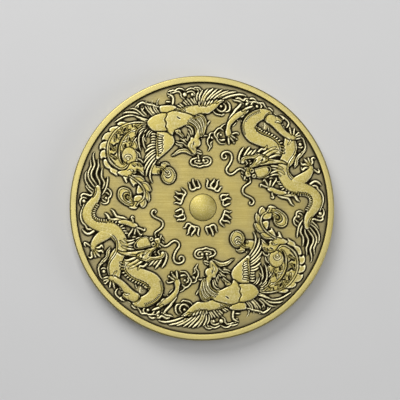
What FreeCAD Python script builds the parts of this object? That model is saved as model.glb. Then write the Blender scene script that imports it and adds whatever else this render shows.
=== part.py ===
import FreeCAD, Part
import math
import os

# Dragon and phoenix challenge coin, lying flat, face side up (+Z), millimetres.
# One blank, a raised rim on each side, and a raised device on each side.
# The device is drawn once (a dragon, a phoenix and a cloud) and repeated by half turns.

coin_diameter = 40.0
coin_thickness = 3.0
rim_width = 1.0
rim_height = 0.40
rim_corner_radius = 0.22

sun_radius = 2.1
sun_height = 0.34
flame_inner_radius = 2.75
flame_outer_radius = 4.25
flame_groups = 8
flame_first_angle = 18.0
flame_height = 0.24
flame_line_width = 0.28
flame_half_span = 0.72
tongue_sides = (-0.2, 0.24)
tongue_width = 0.26
tongue_tip_width = 0.18

head_height = 0.38
body_height = 0.36
leg_height = 0.33
wing_height = 0.31
tail_height = 0.29
plume_height = 0.27
whisker_height = 0.24
cloud_height = 0.22

coin_radius = coin_diameter / 2.0
field_radius = coin_radius - rim_width
blank_bottom = rim_height
blank_top = coin_thickness - rim_height
smallest_chip = 0.012
overlap = 0.5
tolerance = 0.001


def vector(x, y, z=0.0):
    return FreeCAD.Vector(x, y, z)


def spline_edge(points):
    if len(points) == 2:
        return Part.LineSegment(points[0], points[1]).toShape()
    curve = Part.BSplineCurve()
    curve.interpolate(points)
    return curve.toShape()


def prism(wire, height):
    return Part.Face(wire).extrude(vector(0, 0, height))


def ribbon(points, height):
    """Raised band that follows a line of (x, y, width) points, with round ends."""
    left = []
    right = []
    last = len(points) - 1
    for index, (x, y, width) in enumerate(points):
        before = points[max(index - 1, 0)]
        after = points[min(index + 1, last)]
        dx = after[0] - before[0]
        dy = after[1] - before[1]
        length = math.hypot(dx, dy)
        nx = -dy / length * width / 2.0
        ny = dx / length * width / 2.0
        left.append(vector(x + nx, y + ny, blank_top))
        right.append(vector(x - nx, y - ny, blank_top))
    ends = []
    for near, far in ((0, 1), (last, last - 1)):
        x, y, width = points[near]
        dx = x - points[far][0]
        dy = y - points[far][1]
        length = math.hypot(dx, dy)
        ends.append(vector(x + dx / length * width / 2.0, y + dy / length * width / 2.0, blank_top))
    far_cap = Part.Arc(left[-1], ends[1], right[-1]).toShape()
    near_cap = Part.Arc(right[0], ends[0], left[0]).toShape()
    right_back = list(reversed(right))
    wire = Part.Wire([spline_edge(left), far_cap, spline_edge(right_back), near_cap])
    return prism(wire, height)


def patch(points, height):
    """Raised patch inside a smooth closed line of (x, y) points."""
    curve = Part.BSplineCurve()
    curve.interpolate([vector(x, y, blank_top) for x, y in points], PeriodicFlag=True)
    return prism(Part.Wire([curve.toShape()]), height)


def button(x, y, radius, height):
    return Part.makeCylinder(radius, height, vector(x, y, blank_top))


def joined(shapes):
    if len(shapes) == 1:
        return shapes[0]
    return shapes[0].multiFuse(shapes[1:]).removeSplitter()


def without(shape, others):
    """What is left of a shape beside the taller shapes that were placed before it."""
    touching = [other for other in others if other.BoundBox.intersect(shape.BoundBox)]
    rest = shape
    if touching:
        rest = shape.cut(touching)
    solids = [solid for solid in rest.Solids if solid.Volume > smallest_chip]
    if len(solids) == 1:
        return solids[0]
    return Part.makeCompound(solids)


def dragon_head():
    h = head_height
    skull = [(6.9, 8.3), (7.9, 8.8), (8.9, 8.85), (9.8, 8.5), (10.3, 7.7), (10.05, 6.9), (10.15, 6.2),
             (10.2, 5.7), (9.9, 5.1), (9.3, 4.72), (8.6, 4.4), (8.0, 4.6), (7.5, 4.5), (7.15, 4.9),
             (7.2, 5.5), (7.35, 6.1), (7.6, 6.6), (7.3, 7.2), (6.7, 7.7)]
    shapes = [patch(skull, h)]
    shapes.append(ribbon([(7.7, 6.15, 0.6), (7.0, 5.9, 0.55), (6.65, 5.35, 0.6), (6.6, 4.95, 0.4)], h))
    shapes.append(ribbon([(7.1, 7.7, 0.5), (6.9, 7.1, 0.35), (6.75, 6.65, 0.2)], h))
    shapes.append(ribbon([(7.0, 8.2, 0.5), (6.4, 7.9, 0.5), (5.95, 7.5, 0.6), (5.8, 7.0, 0.5),
                          (6.2, 6.62, 0.25)], h))
    shapes.append(ribbon([(6.9, 8.0, 0.4), (6.3, 8.5, 0.35), (6.25, 9.1, 0.2)], h))
    shapes.append(ribbon([(7.3, 8.3, 0.4), (7.0, 8.85, 0.35), (7.3, 9.35, 0.2)], h))
    shapes.append(ribbon([(8.2, 8.6, 0.4), (9.1, 9.0, 0.3), (9.75, 9.4, 0.2)], h))
    shapes.append(ribbon([(9.4, 8.4, 0.5), (10.1, 8.85, 0.35), (10.8, 9.2, 0.2)], h))
    shapes.append(ribbon([(9.8, 7.9, 0.5), (10.5, 8.35, 0.4), (11.2, 8.7, 0.2)], h))
    shapes.append(ribbon([(9.8, 7.0, 0.55), (10.8, 7.3, 0.5), (11.5, 7.18, 0.45), (12.2, 7.0, 0.35),
                          (12.6, 6.7, 0.2)], h))
    shapes.append(ribbon([(9.9, 5.9, 0.5), (10.8, 6.2, 0.4), (11.6, 6.25, 0.3), (12.2, 6.2, 0.2)], h))
    shapes.append(ribbon([(9.8, 5.3, 0.5), (10.7, 5.3, 0.4), (11.5, 5.4, 0.3), (12.1, 5.35, 0.2)], h))
    shapes.append(ribbon([(6.65, 5.1, 0.5), (6.45, 4.65, 0.3), (6.2, 4.1, 0.15)], h))
    shapes.append(ribbon([(7.4, 4.9, 0.4), (7.15, 4.5, 0.25), (7.1, 4.15, 0.15)], h))
    return joined(shapes)


def dragon_body():
    h = body_height
    neck = [(11.4, 8.9, 1.2), (10.9, 9.4, 1.5), (10.0, 10.0, 1.7), (8.8, 10.45, 1.75), (7.7, 11.05, 1.8),
            (7.1, 12.1, 1.85), (7.4, 13.1, 1.8), (8.25, 13.85, 1.7), (9.2, 14.25, 1.5), (10.0, 14.3, 1.2)]
    trunk = [(13.2, 10.3, 1.4), (13.22, 9.2, 1.8), (13.15, 8.2, 1.95), (12.85, 7.3, 1.9), (12.35, 6.5, 1.6),
             (12.2, 5.6, 1.6), (12.5, 4.7, 1.8), (13.2, 3.75, 2.0), (14.2, 3.2, 2.0), (15.4, 2.85, 1.7),
             (16.5, 2.45, 1.45), (17.2, 1.75, 1.45), (17.35, 0.9, 1.5), (17.0, 0.0, 1.4),
             (16.5, -0.7, 1.2),
             (16.05, -1.4, 1.05), (15.83, -2.2, 0.9), (15.8, -2.95, 0.65)]
    comb = [(8.35, 12.3, 0.5), (8.5, 11.75, 0.5), (9.4, 11.2, 0.45), (10.3, 10.9, 0.45), (11.2, 10.4, 0.5),
            (11.9, 9.7, 0.55), (12.0, 8.9, 0.4), (11.95, 8.2, 0.2)]
    return joined([ribbon(neck, h), ribbon(trunk, h), ribbon(comb, h)])


def dragon_hind_leg():
    h = leg_height
    thigh = [(9.2, 11.8), (9.35, 12.9), (9.5, 13.7), (10.0, 14.35), (10.7, 14.5), (11.4, 14.1),
             (12.1, 13.45),
             (12.1, 12.7), (11.7, 12.4), (12.0, 12.0), (12.6, 11.5), (12.2, 10.95), (11.3, 11.5),
             (10.4, 12.1),
             (9.8, 11.8)]
    shapes = [patch(thigh, h)]
    shapes.append(ribbon([(12.1, 11.25, 0.7), (12.9, 10.85, 0.6), (13.6, 10.7, 0.9),
                          (14.0, 10.65, 0.6)], h))
    shapes.append(ribbon([(13.55, 10.95, 0.35), (13.35, 11.75, 0.25), (13.25, 12.25, 0.15)], h))
    shapes.append(ribbon([(13.8, 10.95, 0.35), (13.9, 11.6, 0.25), (14.0, 12.1, 0.15)], h))
    shapes.append(ribbon([(14.0, 10.85, 0.3), (14.4, 11.25, 0.25), (14.75, 11.4, 0.15)], h))
    shapes.append(ribbon([(14.0, 10.5, 0.3), (14.5, 10.5, 0.25), (14.9, 10.65, 0.15)], h))
    return joined(shapes)


def dragon_upper_leg():
    h = leg_height
    arm = [(7.6, 15.25, 0.5), (6.9, 14.95, 0.8), (6.2, 14.55, 0.95), (5.35, 14.05, 0.9), (4.6, 13.4, 0.85),
           (4.0, 12.8, 0.7), (3.85, 12.2, 0.65), (3.85, 11.5, 0.85), (3.9, 10.9, 0.6)]
    shapes = [ribbon(arm, h)]
    shapes.append(ribbon([(3.9, 11.0, 0.4), (3.9, 10.3, 0.28), (3.95, 9.6, 0.2)], h))
    shapes.append(ribbon([(4.0, 11.0, 0.35), (4.4, 10.3, 0.25), (4.75, 9.7, 0.2)], h))
    shapes.append(ribbon([(4.1, 11.1, 0.35), (4.65, 10.7, 0.25), (5.1, 10.4, 0.2)], h))
    shapes.append(ribbon([(4.1, 11.3, 0.35), (4.7, 11.25, 0.25), (5.2, 11.3, 0.22), (5.4, 11.1, 0.15)], h))
    return joined(shapes)


def dragon_lower_leg():
    h = leg_height
    shapes = [ribbon([(12.6, 2.35, 0.4), (11.8, 2.25, 0.6), (11.0, 2.45, 0.6), (10.3, 2.75, 0.75)], h)]
    shapes.append(ribbon([(10.0, 3.0, 0.45), (9.3, 3.25, 0.3), (8.8, 3.45, 0.2)], h))
    shapes.append(ribbon([(10.0, 3.1, 0.4), (9.6, 3.8, 0.28), (9.3, 4.15, 0.18)], h))
    shapes.append(ribbon([(10.2, 3.1, 0.4), (10.28, 3.8, 0.28), (10.35, 4.15, 0.18)], h))
    shapes.append(ribbon([(10.4, 3.1, 0.4), (10.9, 3.85, 0.28), (11.15, 4.35, 0.18)], h))
    shapes.append(ribbon([(10.45, 2.5, 0.35), (10.6, 1.9, 0.28), (10.6, 1.5, 0.2), (10.3, 1.5, 0.15)], h))
    return joined(shapes)


def dragon_outer_leg():
    h = leg_height
    leg = [(14.1, 3.9, 1.3), (14.8, 4.2, 1.55), (15.5, 4.65, 1.4), (16.1, 5.2, 1.1), (16.45, 5.8, 0.8),
           (16.42, 6.35, 0.6)]
    shapes = [ribbon(leg, h)]
    shapes.append(ribbon([(16.35, 6.4, 0.4), (15.9, 7.0, 0.28), (15.5, 7.4, 0.18)], h))
    shapes.append(ribbon([(16.45, 6.4, 0.4), (16.65, 7.0, 0.28), (16.5, 7.55, 0.18)], h))
    shapes.append(ribbon([(16.3, 6.35, 0.4), (15.6, 6.55, 0.28), (15.05, 6.65, 0.18)], h))
    shapes.append(ribbon([(16.3, 6.1, 0.4), (15.6, 6.0, 0.28), (15.1, 5.9, 0.18)], h))
    shapes.append(ribbon([(16.7, 5.85, 0.4), (17.3, 5.5, 0.25), (17.7, 5.4, 0.15)], h))
    return joined(shapes)


def dragon_tail():
    h = tail_height
    hairs = [[(15.5, -2.1, 0.4), (14.9, -2.3, 0.3), (14.55, -2.9, 0.25), (14.4, -3.6, 0.22),
              (14.3, -4.6, 0.15)],
             [(15.5, -2.6, 0.4), (15.0, -3.1, 0.3), (14.95, -3.9, 0.25), (15.25, -4.7, 0.25),
              (15.2, -5.8, 0.15)],
             [(15.7, -3.0, 0.4), (15.6, -3.8, 0.28), (16.0, -4.8, 0.28), (15.8, -5.9, 0.25),
              (15.75, -7.2, 0.15)],
             [(15.9, -3.0, 0.4), (16.5, -4.1, 0.28), (16.75, -5.0, 0.28), (16.35, -6.3, 0.28),
              (16.5, -7.6, 0.22),
              (16.35, -8.25, 0.15)],
             [(16.05, -2.8, 0.4), (17.0, -4.0, 0.28), (17.2, -5.0, 0.28), (16.85, -6.2, 0.25),
              (16.9, -7.1, 0.15)],
             [(16.0, -2.3, 0.4), (17.0, -3.0, 0.28), (17.6, -4.0, 0.25), (17.5, -5.3, 0.15)],
             [(15.95, -1.8, 0.4), (16.9, -2.4, 0.28), (17.6, -3.2, 0.15)]]
    return joined([ribbon(hair, h) for hair in hairs])


def dragon_whiskers():
    h = whisker_height
    upper = [(3.55, 7.7, 0.2), (3.2, 7.42, 0.22), (2.9, 7.75, 0.24), (3.1, 8.25, 0.26), (3.65, 8.42, 0.28),
             (4.2, 8.2, 0.28), (4.38, 7.5, 0.28), (4.0, 6.5, 0.28), (3.6, 5.75, 0.28), (3.9, 5.15, 0.28),
             (4.5, 5.15, 0.28), (5.1, 5.6, 0.28), (5.75, 5.85, 0.28), (6.5, 5.5, 0.3)]
    lower = [(7.2, 4.4, 0.28), (7.15, 3.8, 0.28), (6.5, 3.35, 0.28), (6.02, 2.65, 0.28), (6.5, 1.85, 0.28),
             (7.4, 1.4, 0.26), (7.7, 0.8, 0.24), (7.25, 0.45, 0.2)]
    return joined([ribbon(upper, h), ribbon(lower, h)])


def phoenix_body():
    h = body_height
    body = [(-8.45, 12.7), (-8.1, 13.35), (-7.4, 13.85), (-6.5, 14.15), (-5.4, 14.3), (-4.6, 14.6),
            (-3.4, 14.6),
            (-2.2, 14.25), (-1.4, 13.8), (-0.85, 13.1), (-0.5, 12.2), (-0.4, 11.2), (-0.45, 10.4),
            (-0.3, 9.8),
            (-0.45, 9.3), (-0.9, 9.05), (-0.95, 8.4), (-1.2, 8.0), (-1.6, 8.3), (-1.95, 8.9),
            (-2.25, 9.4),
            (-2.1, 9.95), (-1.6, 10.4), (-1.2, 11.2), (-1.35, 12.1), (-2.0, 12.6), (-2.8, 12.4),
            (-3.6, 12.0),
            (-4.3, 11.6), (-4.7, 11.05), (-5.3, 11.4), (-6.2, 11.5), (-7.2, 11.55), (-8.0, 12.0)]
    shapes = [patch(body, h)]
    shapes.append(ribbon([(-1.6, 13.7, 0.4), (-0.6, 13.6, 0.7), (0.05, 12.9, 0.75), (0.1, 12.0, 0.6),
                          (-0.2, 11.0, 0.3)], h))
    shapes.append(ribbon([(-1.9, 8.5, 0.4), (-2.6, 8.55, 0.6), (-3.4, 8.5, 0.6), (-4.2, 8.15, 0.45),
                          (-4.85, 7.75, 0.2)], h))
    shapes.append(ribbon([(-1.9, 9.3, 0.4), (-2.7, 9.65, 0.3), (-3.4, 9.45, 0.25), (-4.0, 9.6, 0.15)], h))
    shapes.append(ribbon([(-1.8, 9.7, 0.4), (-2.6, 10.0, 0.3), (-3.4, 10.4, 0.15)], h))
    return joined(shapes)


def phoenix_upper_wing():
    h = wing_height
    arm = [(-6.6, 15.05, 0.5), (-5.3, 14.95, 0.7), (-4.2, 15.05, 0.8), (-3.0, 15.0, 0.9), (-1.6, 14.9, 1.1),
           (-0.3, 14.85, 1.15), (0.8, 14.95, 1.2), (1.8, 15.4, 0.95), (2.6, 15.9, 0.6), (3.2, 16.2, 0.4)]
    shapes = [ribbon(arm, h)]
    feathers = [[(-3.2, 15.2), (-3.5, 15.5), (-3.75, 15.9)], [(-2.6, 15.3), (-2.9, 15.9), (-3.1, 16.2)],
                [(-2.1, 15.3), (-2.3, 16.1), (-2.5, 16.6)], [(-1.5, 15.3), (-1.8, 16.2), (-2.0, 17.0)],
                [(-0.9, 15.3), (-1.2, 16.2), (-1.45, 17.2)], [(-0.5, 15.3), (-0.85, 16.6), (-0.9, 17.9)],
                [(-0.1, 15.3), (-0.4, 16.6), (0.1, 18.0)], [(0.2, 15.3), (0.1, 16.5), (0.8, 18.05)],
                [(0.6, 15.4), (0.6, 16.5), (1.55, 18.0)], [(0.9, 15.4), (1.1, 16.5), (2.2, 18.0)],
                [(1.2, 15.5), (1.6, 16.6), (2.9, 17.9)], [(1.6, 15.6), (2.3, 16.8), (3.9, 17.75)],
                [(2.0, 15.8), (3.2, 16.9), (5.1, 17.6)], [(2.4, 16.0), (4.2, 16.9), (6.5, 17.1)]]
    for root, middle, tip in feathers:
        shapes.append(ribbon([root + (0.42,), middle + (0.4,), tip + (0.26,)], h))
    return joined(shapes)


def phoenix_lower_wing():
    h = wing_height
    shoulder = [(-7.1, 11.25), (-6.2, 11.35), (-5.2, 11.2), (-4.55, 10.7), (-4.3, 10.1), (-4.6, 9.35),
                (-5.3, 8.55),
                (-6.3, 7.65), (-7.2, 6.85), (-7.3, 7.6), (-7.1, 8.4), (-7.3, 9.4), (-7.9, 9.9),
                (-8.2, 10.5), (-7.9, 11.1)]
    shapes = [patch(shoulder, h)]
    feathers = [[(-7.3, 11.0), (-8.3, 11.2), (-8.8, 10.4)], [(-7.3, 10.6), (-8.6, 10.6), (-9.0, 9.4)],
                [(-7.3, 9.9), (-8.0, 9.5), (-8.6, 9.0)], [(-7.1, 9.3), (-8.0, 8.9), (-8.8, 8.1)],
                [(-7.0, 8.8), (-8.1, 8.1), (-8.9, 7.2)], [(-7.0, 8.3), (-8.2, 7.3), (-8.9, 6.0)],
                [(-7.0, 7.9), (-8.0, 6.8), (-8.55, 4.8)], [(-7.0, 7.4), (-7.8, 6.2), (-8.1, 4.7)],
                [(-7.1, 7.0), (-7.75, 5.6), (-7.7, 3.8)]]
    for root, middle, tip in feathers:
        shapes.append(ribbon([root + (0.42,), middle + (0.4,), tip + (0.22,)], h))
    return joined(shapes)


def phoenix_plumes():
    h = plume_height
    shapes = []
    shapes.append(ribbon([(-8.6, 13.0, 0.9), (-9.8, 12.7, 1.4), (-11.0, 12.0, 1.8), (-12.1, 11.0, 2.2),
                          (-12.9, 9.8, 2.4),
                          (-13.2, 8.4, 2.3), (-13.0, 7.2, 2.0), (-12.3, 6.3, 1.5), (-11.6, 6.1, 0.9)], h))
    shapes.append(ribbon([(-9.6, 12.1, 0.6), (-10.6, 11.2, 0.9), (-11.3, 10.0, 1.0), (-11.6, 9.0, 0.9)], h))
    shapes.append(button(-11.15, 7.75, 1.25, h))
    lobes = [[(-10.2, 13.0, 0.6), (-11.0, 13.2, 0.5), (-11.7, 13.2, 0.2)],
             [(-11.4, 12.4, 0.7), (-12.3, 12.65, 0.5), (-13.0, 12.5, 0.2)],
             [(-12.5, 11.7, 0.7), (-13.4, 12.0, 0.5), (-14.1, 11.65, 0.2)],
             [(-13.4, 10.9, 0.8), (-14.4, 11.0, 0.6), (-15.1, 10.1, 0.2)],
             [(-14.1, 9.6, 0.8), (-15.1, 9.4, 0.6), (-15.5, 8.6, 0.2)],
             [(-14.2, 8.4, 0.7), (-15.0, 8.2, 0.5), (-15.3, 7.4, 0.2)],
             [(-14.1, 7.2, 0.7), (-14.75, 6.5, 0.6), (-14.35, 5.5, 0.2)],
             [(-13.3, 6.4, 0.7), (-13.6, 5.6, 0.6), (-12.9, 4.75, 0.2)],
             [(-12.3, 5.6, 0.6), (-11.9, 4.6, 0.6), (-11.4, 3.75, 0.2)],
             [(-11.5, 5.3, 0.5), (-10.9, 4.0, 0.6), (-10.4, 3.1, 0.2)]]
    for lobe in lobes:
        shapes.append(ribbon(lobe, h))
    shapes.append(ribbon([(-11.9, 5.4, 0.7), (-11.0, 5.4, 1.1), (-10.2, 6.1, 1.4), (-9.6, 5.9, 1.0),
                          (-9.1, 5.1, 0.3)], h))
    shapes.append(ribbon([(-11.3, 5.2, 0.6), (-10.2, 4.3, 0.8), (-9.2, 3.4, 1.1), (-8.8, 2.3, 1.0),
                          (-9.1, 1.3, 0.9),
                          (-9.9, 0.7, 0.9), (-10.7, 0.3, 0.5)], h))
    shapes.append(ribbon([(-9.3, 3.9, 0.5), (-8.4, 3.6, 0.4), (-7.9, 2.5, 0.2)], h))
    shapes.append(ribbon([(-8.7, 2.6, 0.5), (-8.15, 2.0, 0.4), (-8.15, 0.9, 0.2)], h))
    shapes.append(ribbon([(-9.0, 1.6, 0.5), (-8.55, 0.9, 0.4), (-9.1, 0.1, 0.3)], h))
    shapes.append(button(-11.75, 1.75, 1.1, h))
    shapes.append(ribbon([(-10.8, 1.3, 0.8), (-10.3, 0.6, 0.8), (-9.9, 0.6, 0.6)], h))
    shapes.append(ribbon([(-12.0, 0.9, 0.5), (-11.3, 0.45, 0.5), (-10.6, 0.5, 0.5)], h))
    thin = [[(-8.5, 13.35, 0.3), (-9.6, 13.5, 0.35), (-11.0, 13.9, 0.25), (-12.3, 13.5, 0.22),
             (-13.3, 12.85, 0.12)],
            [(-8.4, 13.7, 0.5), (-9.6, 14.05, 0.35), (-10.8, 14.3, 0.25), (-12.1, 14.1, 0.12)],
            [(-8.2, 13.85, 0.5), (-9.2, 14.35, 0.35), (-10.1, 14.8, 0.25), (-11.1, 14.85, 0.12)],
            [(-7.8, 13.95, 0.4), (-8.7, 14.3, 0.3), (-9.4, 15.0, 0.2)],
            [(-7.4, 14.05, 0.4), (-8.2, 14.6, 0.3), (-8.7, 15.3, 0.2)],
            [(-7.0, 14.15, 0.4), (-7.6, 14.6, 0.3), (-8.0, 15.3, 0.2)],
            [(-6.6, 14.3, 0.4), (-7.1, 14.7, 0.3), (-7.55, 15.3, 0.2)],
            [(-6.4, 15.2, 0.3), (-7.6, 15.42, 0.3), (-9.0, 15.75, 0.3), (-10.2, 15.15, 0.15)]]
    for plume in thin:
        shapes.append(ribbon(plume, h))
    scroll = [(-7.6, 5.6, 0.8), (-6.9, 5.7, 0.9), (-6.3, 6.1, 0.7), (-5.6, 6.5, 0.5), (-5.05, 6.4, 0.25)]
    shapes.append(ribbon(scroll, h))
    shapes.append(button(-5.15, 4.75, 1.22, h))
    shapes.append(ribbon([(-6.6, 5.9, 0.4), (-6.0, 5.6, 0.4), (-5.5, 5.2, 0.4)], h))
    return joined(shapes)


def clouds():
    h = cloud_height
    shapes = [button(-0.72, 7.05, 0.72, h), button(0.38, 7.1, 0.66, h), button(-0.2, 7.15, 0.6, h)]
    shapes.append(ribbon([(-1.0, 7.3, 0.3), (-1.5, 6.95, 0.3), (-1.2, 6.6, 0.3)], h))
    shapes.append(ribbon([(0.6, 7.4, 0.3), (1.05, 7.1, 0.3), (0.8, 6.75, 0.3)], h))
    shapes.append(ribbon([(-0.68, 7.5, 0.22), (-0.66, 7.9, 0.2), (-0.6, 8.35, 0.3), (-0.2, 8.3, 0.2)], h))
    shapes.append(button(2.78, 11.0, 0.95, h))
    shapes.append(ribbon([(2.3, 11.7, 0.4), (1.6, 11.25, 0.5), (1.05, 10.7, 0.55), (0.75, 10.1, 0.35),
                          (1.0, 9.4, 0.3),
                          (0.8, 8.6, 0.2)], h))
    shapes.append(ribbon([(2.6, 11.9, 0.3), (3.0, 12.5, 0.25), (3.4, 12.7, 0.15)], h))
    shapes.append(button(2.75, 15.3, 0.95, h))
    shapes.append(ribbon([(3.5, 14.6, 0.3), (4.05, 14.8, 0.3), (4.15, 15.4, 0.3), (3.75, 16.1, 0.2)], h))
    shapes.append(ribbon([(1.6, 14.5, 0.25), (2.1, 14.15, 0.3), (2.9, 14.0, 0.3), (3.4, 14.3, 0.2)], h))
    shapes.append(ribbon([(4.6, 16.35, 0.25), (5.4, 16.4, 0.5), (6.3, 16.2, 0.6), (7.2, 16.3, 0.6),
                          (8.0, 15.95, 0.7),
                          (8.9, 15.4, 0.7), (9.7, 15.1, 0.4), (10.6, 14.75, 0.2)], h))
    shapes.append(ribbon([(6.1, 16.1, 0.3), (5.5, 15.4, 0.3), (4.8, 14.7, 0.3), (4.2, 13.8, 0.28),
                          (3.9, 13.25, 0.15)], h))
    shapes.append(ribbon([(11.7, 14.1, 0.2), (12.6, 13.5, 0.35), (13.0, 12.9, 0.3),
                          (12.75, 12.2, 0.15)], h))
    shapes.append(button(14.85, 9.65, 0.62, h))
    shapes.append(ribbon([(14.8, 10.35, 0.3), (15.35, 9.7, 0.4), (15.35, 9.0, 0.6), (15.0, 8.1, 0.8),
                          (14.5, 7.1, 0.5),
                          (13.95, 6.0, 0.15)], h))
    shapes.append(ribbon([(15.9, 3.5, 0.3), (16.9, 3.7, 0.5), (17.7, 3.1, 0.45), (18.2, 2.1, 0.3),
                          (18.35, 1.2, 0.2)], h))
    shapes.append(ribbon([(11.4, 1.8, 0.2), (12.6, 1.6, 0.4), (13.3, 1.1, 0.3), (13.8, 0.4, 0.15)], h))
    shapes.append(ribbon([(12.4, 2.0, 0.3), (13.6, 1.85, 0.4), (14.3, 1.4, 0.3), (14.7, 0.95, 0.15)], h))
    shapes.append(button(14.55, -1.35, 0.62, h))
    shapes.append(ribbon([(15.2, -0.6, 0.2), (14.5, -0.7, 0.35), (14.05, -1.5, 0.4), (14.0, -2.2, 0.35),
                          (14.5, -2.75, 0.2)], h))
    shapes.append(ribbon([(18.3, -0.2, 0.25), (18.2, -1.0, 0.5), (17.9, -1.6, 0.5), (17.0, -1.75, 0.3),
                          (16.5, -2.1, 0.2)], h))
    return joined(shapes)


def flame(angle):
    """One flame: an outline open to the outside, with two tongues inside it."""
    h = flame_height
    tip_radius = flame_outer_radius - 0.1
    waist_radius = flame_inner_radius + 0.65
    foot_radius = flame_inner_radius + 0.2
    half_outline = [(flame_half_span, tip_radius), (0.62, waist_radius), (0.55, foot_radius)]
    outline = [(radius, -side, flame_line_width) for side, radius in half_outline]
    outline.append((flame_inner_radius, 0.0, flame_line_width))
    outline += [(radius, side, flame_line_width) for side, radius in reversed(half_outline)]
    shapes = [ribbon(outline, h)]
    for side in tongue_sides:
        root = (foot_radius, side * 0.8, tongue_width)
        bend = (waist_radius + 0.25, side * 1.3, tongue_width)
        tip = (flame_outer_radius, side, tongue_tip_width)
        shapes.append(ribbon([root, bend, tip], h))
    group = joined(shapes)
    group.rotate(vector(0, 0, 0), vector(0, 0, 1), angle)
    return group


def sun_flames():
    step = 360.0 / flame_groups
    groups = [flame(flame_first_angle + step * index) for index in range(flame_groups)]
    return Part.makeCompound(groups)


def sun_disc():
    chord = sun_radius
    ball_radius = (chord * chord + sun_height * sun_height) / (2.0 * sun_height)
    ball = Part.makeSphere(ball_radius, vector(0, 0, blank_top + sun_height - ball_radius))
    slab = Part.makeCylinder(sun_radius, sun_height + 0.1, vector(0, 0, blank_top))
    return ball.common(slab)


def face_rim():
    ring = Part.makeCylinder(coin_radius, rim_height, vector(0, 0, blank_top))
    opening_height = rim_height + 2.0 * overlap
    ring = ring.cut(Part.makeCylinder(field_radius, opening_height, vector(0, 0, blank_top - overlap)))
    outer_edges = []
    for edge in ring.Edges:
        box = edge.BoundBox
        goes_round = box.XLength > coin_diameter - tolerance
        is_on_top = abs(box.ZMin - coin_thickness) < tolerance
        if goes_round and is_on_top:
            outer_edges.append(edge)
    return ring.makeFillet(rim_corner_radius, outer_edges)


def blank():
    return Part.makeCylinder(coin_radius, blank_top - blank_bottom, vector(0, 0, blank_bottom))


def half_turn(shape):
    copy = shape.copy()
    copy.rotate(vector(0, 0, 0), vector(0, 0, 1), 180.0)
    return copy


def turned_over(shape):
    copy = shape.copy()
    copy.rotate(vector(0, 0, coin_thickness / 2.0), vector(1, 0, 0), 180.0)
    return copy


def save(name, shape):
    path = os.path.join("parts", name + ".step")
    shape.exportStep(path)
    print(name, len(shape.Solids), "solid(s)", len(shape.Faces), "faces", round(shape.Volume, 2), "mm3")


# The device, tallest pieces first: each later piece stops at the pieces before it.
drawing = [("dragon_head", dragon_head), ("dragon_body", dragon_body), ("phoenix_body", phoenix_body),
           ("dragon_hind_leg", dragon_hind_leg), ("dragon_upper_leg", dragon_upper_leg),
           ("dragon_lower_leg", dragon_lower_leg), ("dragon_outer_leg", dragon_outer_leg),
           ("phoenix_upper_wing", phoenix_upper_wing), ("phoenix_lower_wing", phoenix_lower_wing),
           ("dragon_tail", dragon_tail), ("phoenix_plumes", phoenix_plumes),
           ("dragon_whiskers", dragon_whiskers), ("clouds", clouds)]

inside_rim = Part.makeCylinder(field_radius - 0.02, 2.0, vector(0, 0, blank_top - 0.5))
placed = []
device = {}
for piece_name, draw in drawing:
    shape = draw().common(inside_rim)
    turned = [half_turn(other) for other in placed]
    device[piece_name] = without(shape, placed + turned)
    placed.append(device[piece_name])

os.makedirs("parts", exist_ok=True)

save("blank", blank())
face_pieces = {"rim": face_rim(), "sun_disc": sun_disc(), "sun_flames": sun_flames()}
for piece_name, shape in device.items():
    animal, _, rest = piece_name.partition("_")
    sides = {"dragon": ("east", "west"), "phoenix": ("north", "south")}.get(animal, ("north", "south"))
    face_pieces[sides[0] + "_" + piece_name] = shape
    face_pieces[sides[1] + "_" + piece_name] = half_turn(shape)

for piece_name, shape in face_pieces.items():
    save("face_" + piece_name, shape)
    save("back_" + piece_name, turned_over(shape))
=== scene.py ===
import bpy
import math
import numpy as np
from mathutils import Matrix, Vector


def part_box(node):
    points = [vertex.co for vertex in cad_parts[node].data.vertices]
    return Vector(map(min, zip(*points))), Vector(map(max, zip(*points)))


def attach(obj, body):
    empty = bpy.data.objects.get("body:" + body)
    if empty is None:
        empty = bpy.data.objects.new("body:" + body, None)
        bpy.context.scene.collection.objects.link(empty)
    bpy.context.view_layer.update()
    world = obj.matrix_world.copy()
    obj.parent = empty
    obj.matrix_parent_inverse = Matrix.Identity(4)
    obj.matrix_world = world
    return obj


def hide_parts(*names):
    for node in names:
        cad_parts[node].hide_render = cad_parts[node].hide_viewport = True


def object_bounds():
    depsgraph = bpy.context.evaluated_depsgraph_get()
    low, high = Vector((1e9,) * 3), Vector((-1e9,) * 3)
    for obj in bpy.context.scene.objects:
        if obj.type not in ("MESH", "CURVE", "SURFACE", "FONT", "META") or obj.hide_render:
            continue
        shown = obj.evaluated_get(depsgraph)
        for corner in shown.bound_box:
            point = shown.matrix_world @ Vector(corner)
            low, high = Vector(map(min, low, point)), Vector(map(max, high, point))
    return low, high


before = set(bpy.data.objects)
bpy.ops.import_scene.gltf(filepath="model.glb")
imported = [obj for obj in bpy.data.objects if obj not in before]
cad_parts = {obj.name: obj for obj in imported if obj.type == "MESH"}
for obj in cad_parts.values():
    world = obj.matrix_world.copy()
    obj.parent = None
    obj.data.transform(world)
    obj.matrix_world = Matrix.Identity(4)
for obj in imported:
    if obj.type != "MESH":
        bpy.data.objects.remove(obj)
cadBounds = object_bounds()
mm = 0.001

# the coin's own measures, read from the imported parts
blankLow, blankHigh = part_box("blank")
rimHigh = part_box("face_rim")[1]
coin = {
    "radius": min(-blankLow[0], blankHigh[0], -blankLow[1], blankHigh[1]) / mm,
    "fieldTop": blankHigh[2] / mm,
    "top": rimHigh[2] / mm,
    "thickness": (cadBounds[1][2] - cadBounds[0][2]) / mm,
    "rimWidth": 1.0,
}
fieldRadius = coin["radius"] - coin["rimWidth"]
print("coin", coin)

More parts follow.
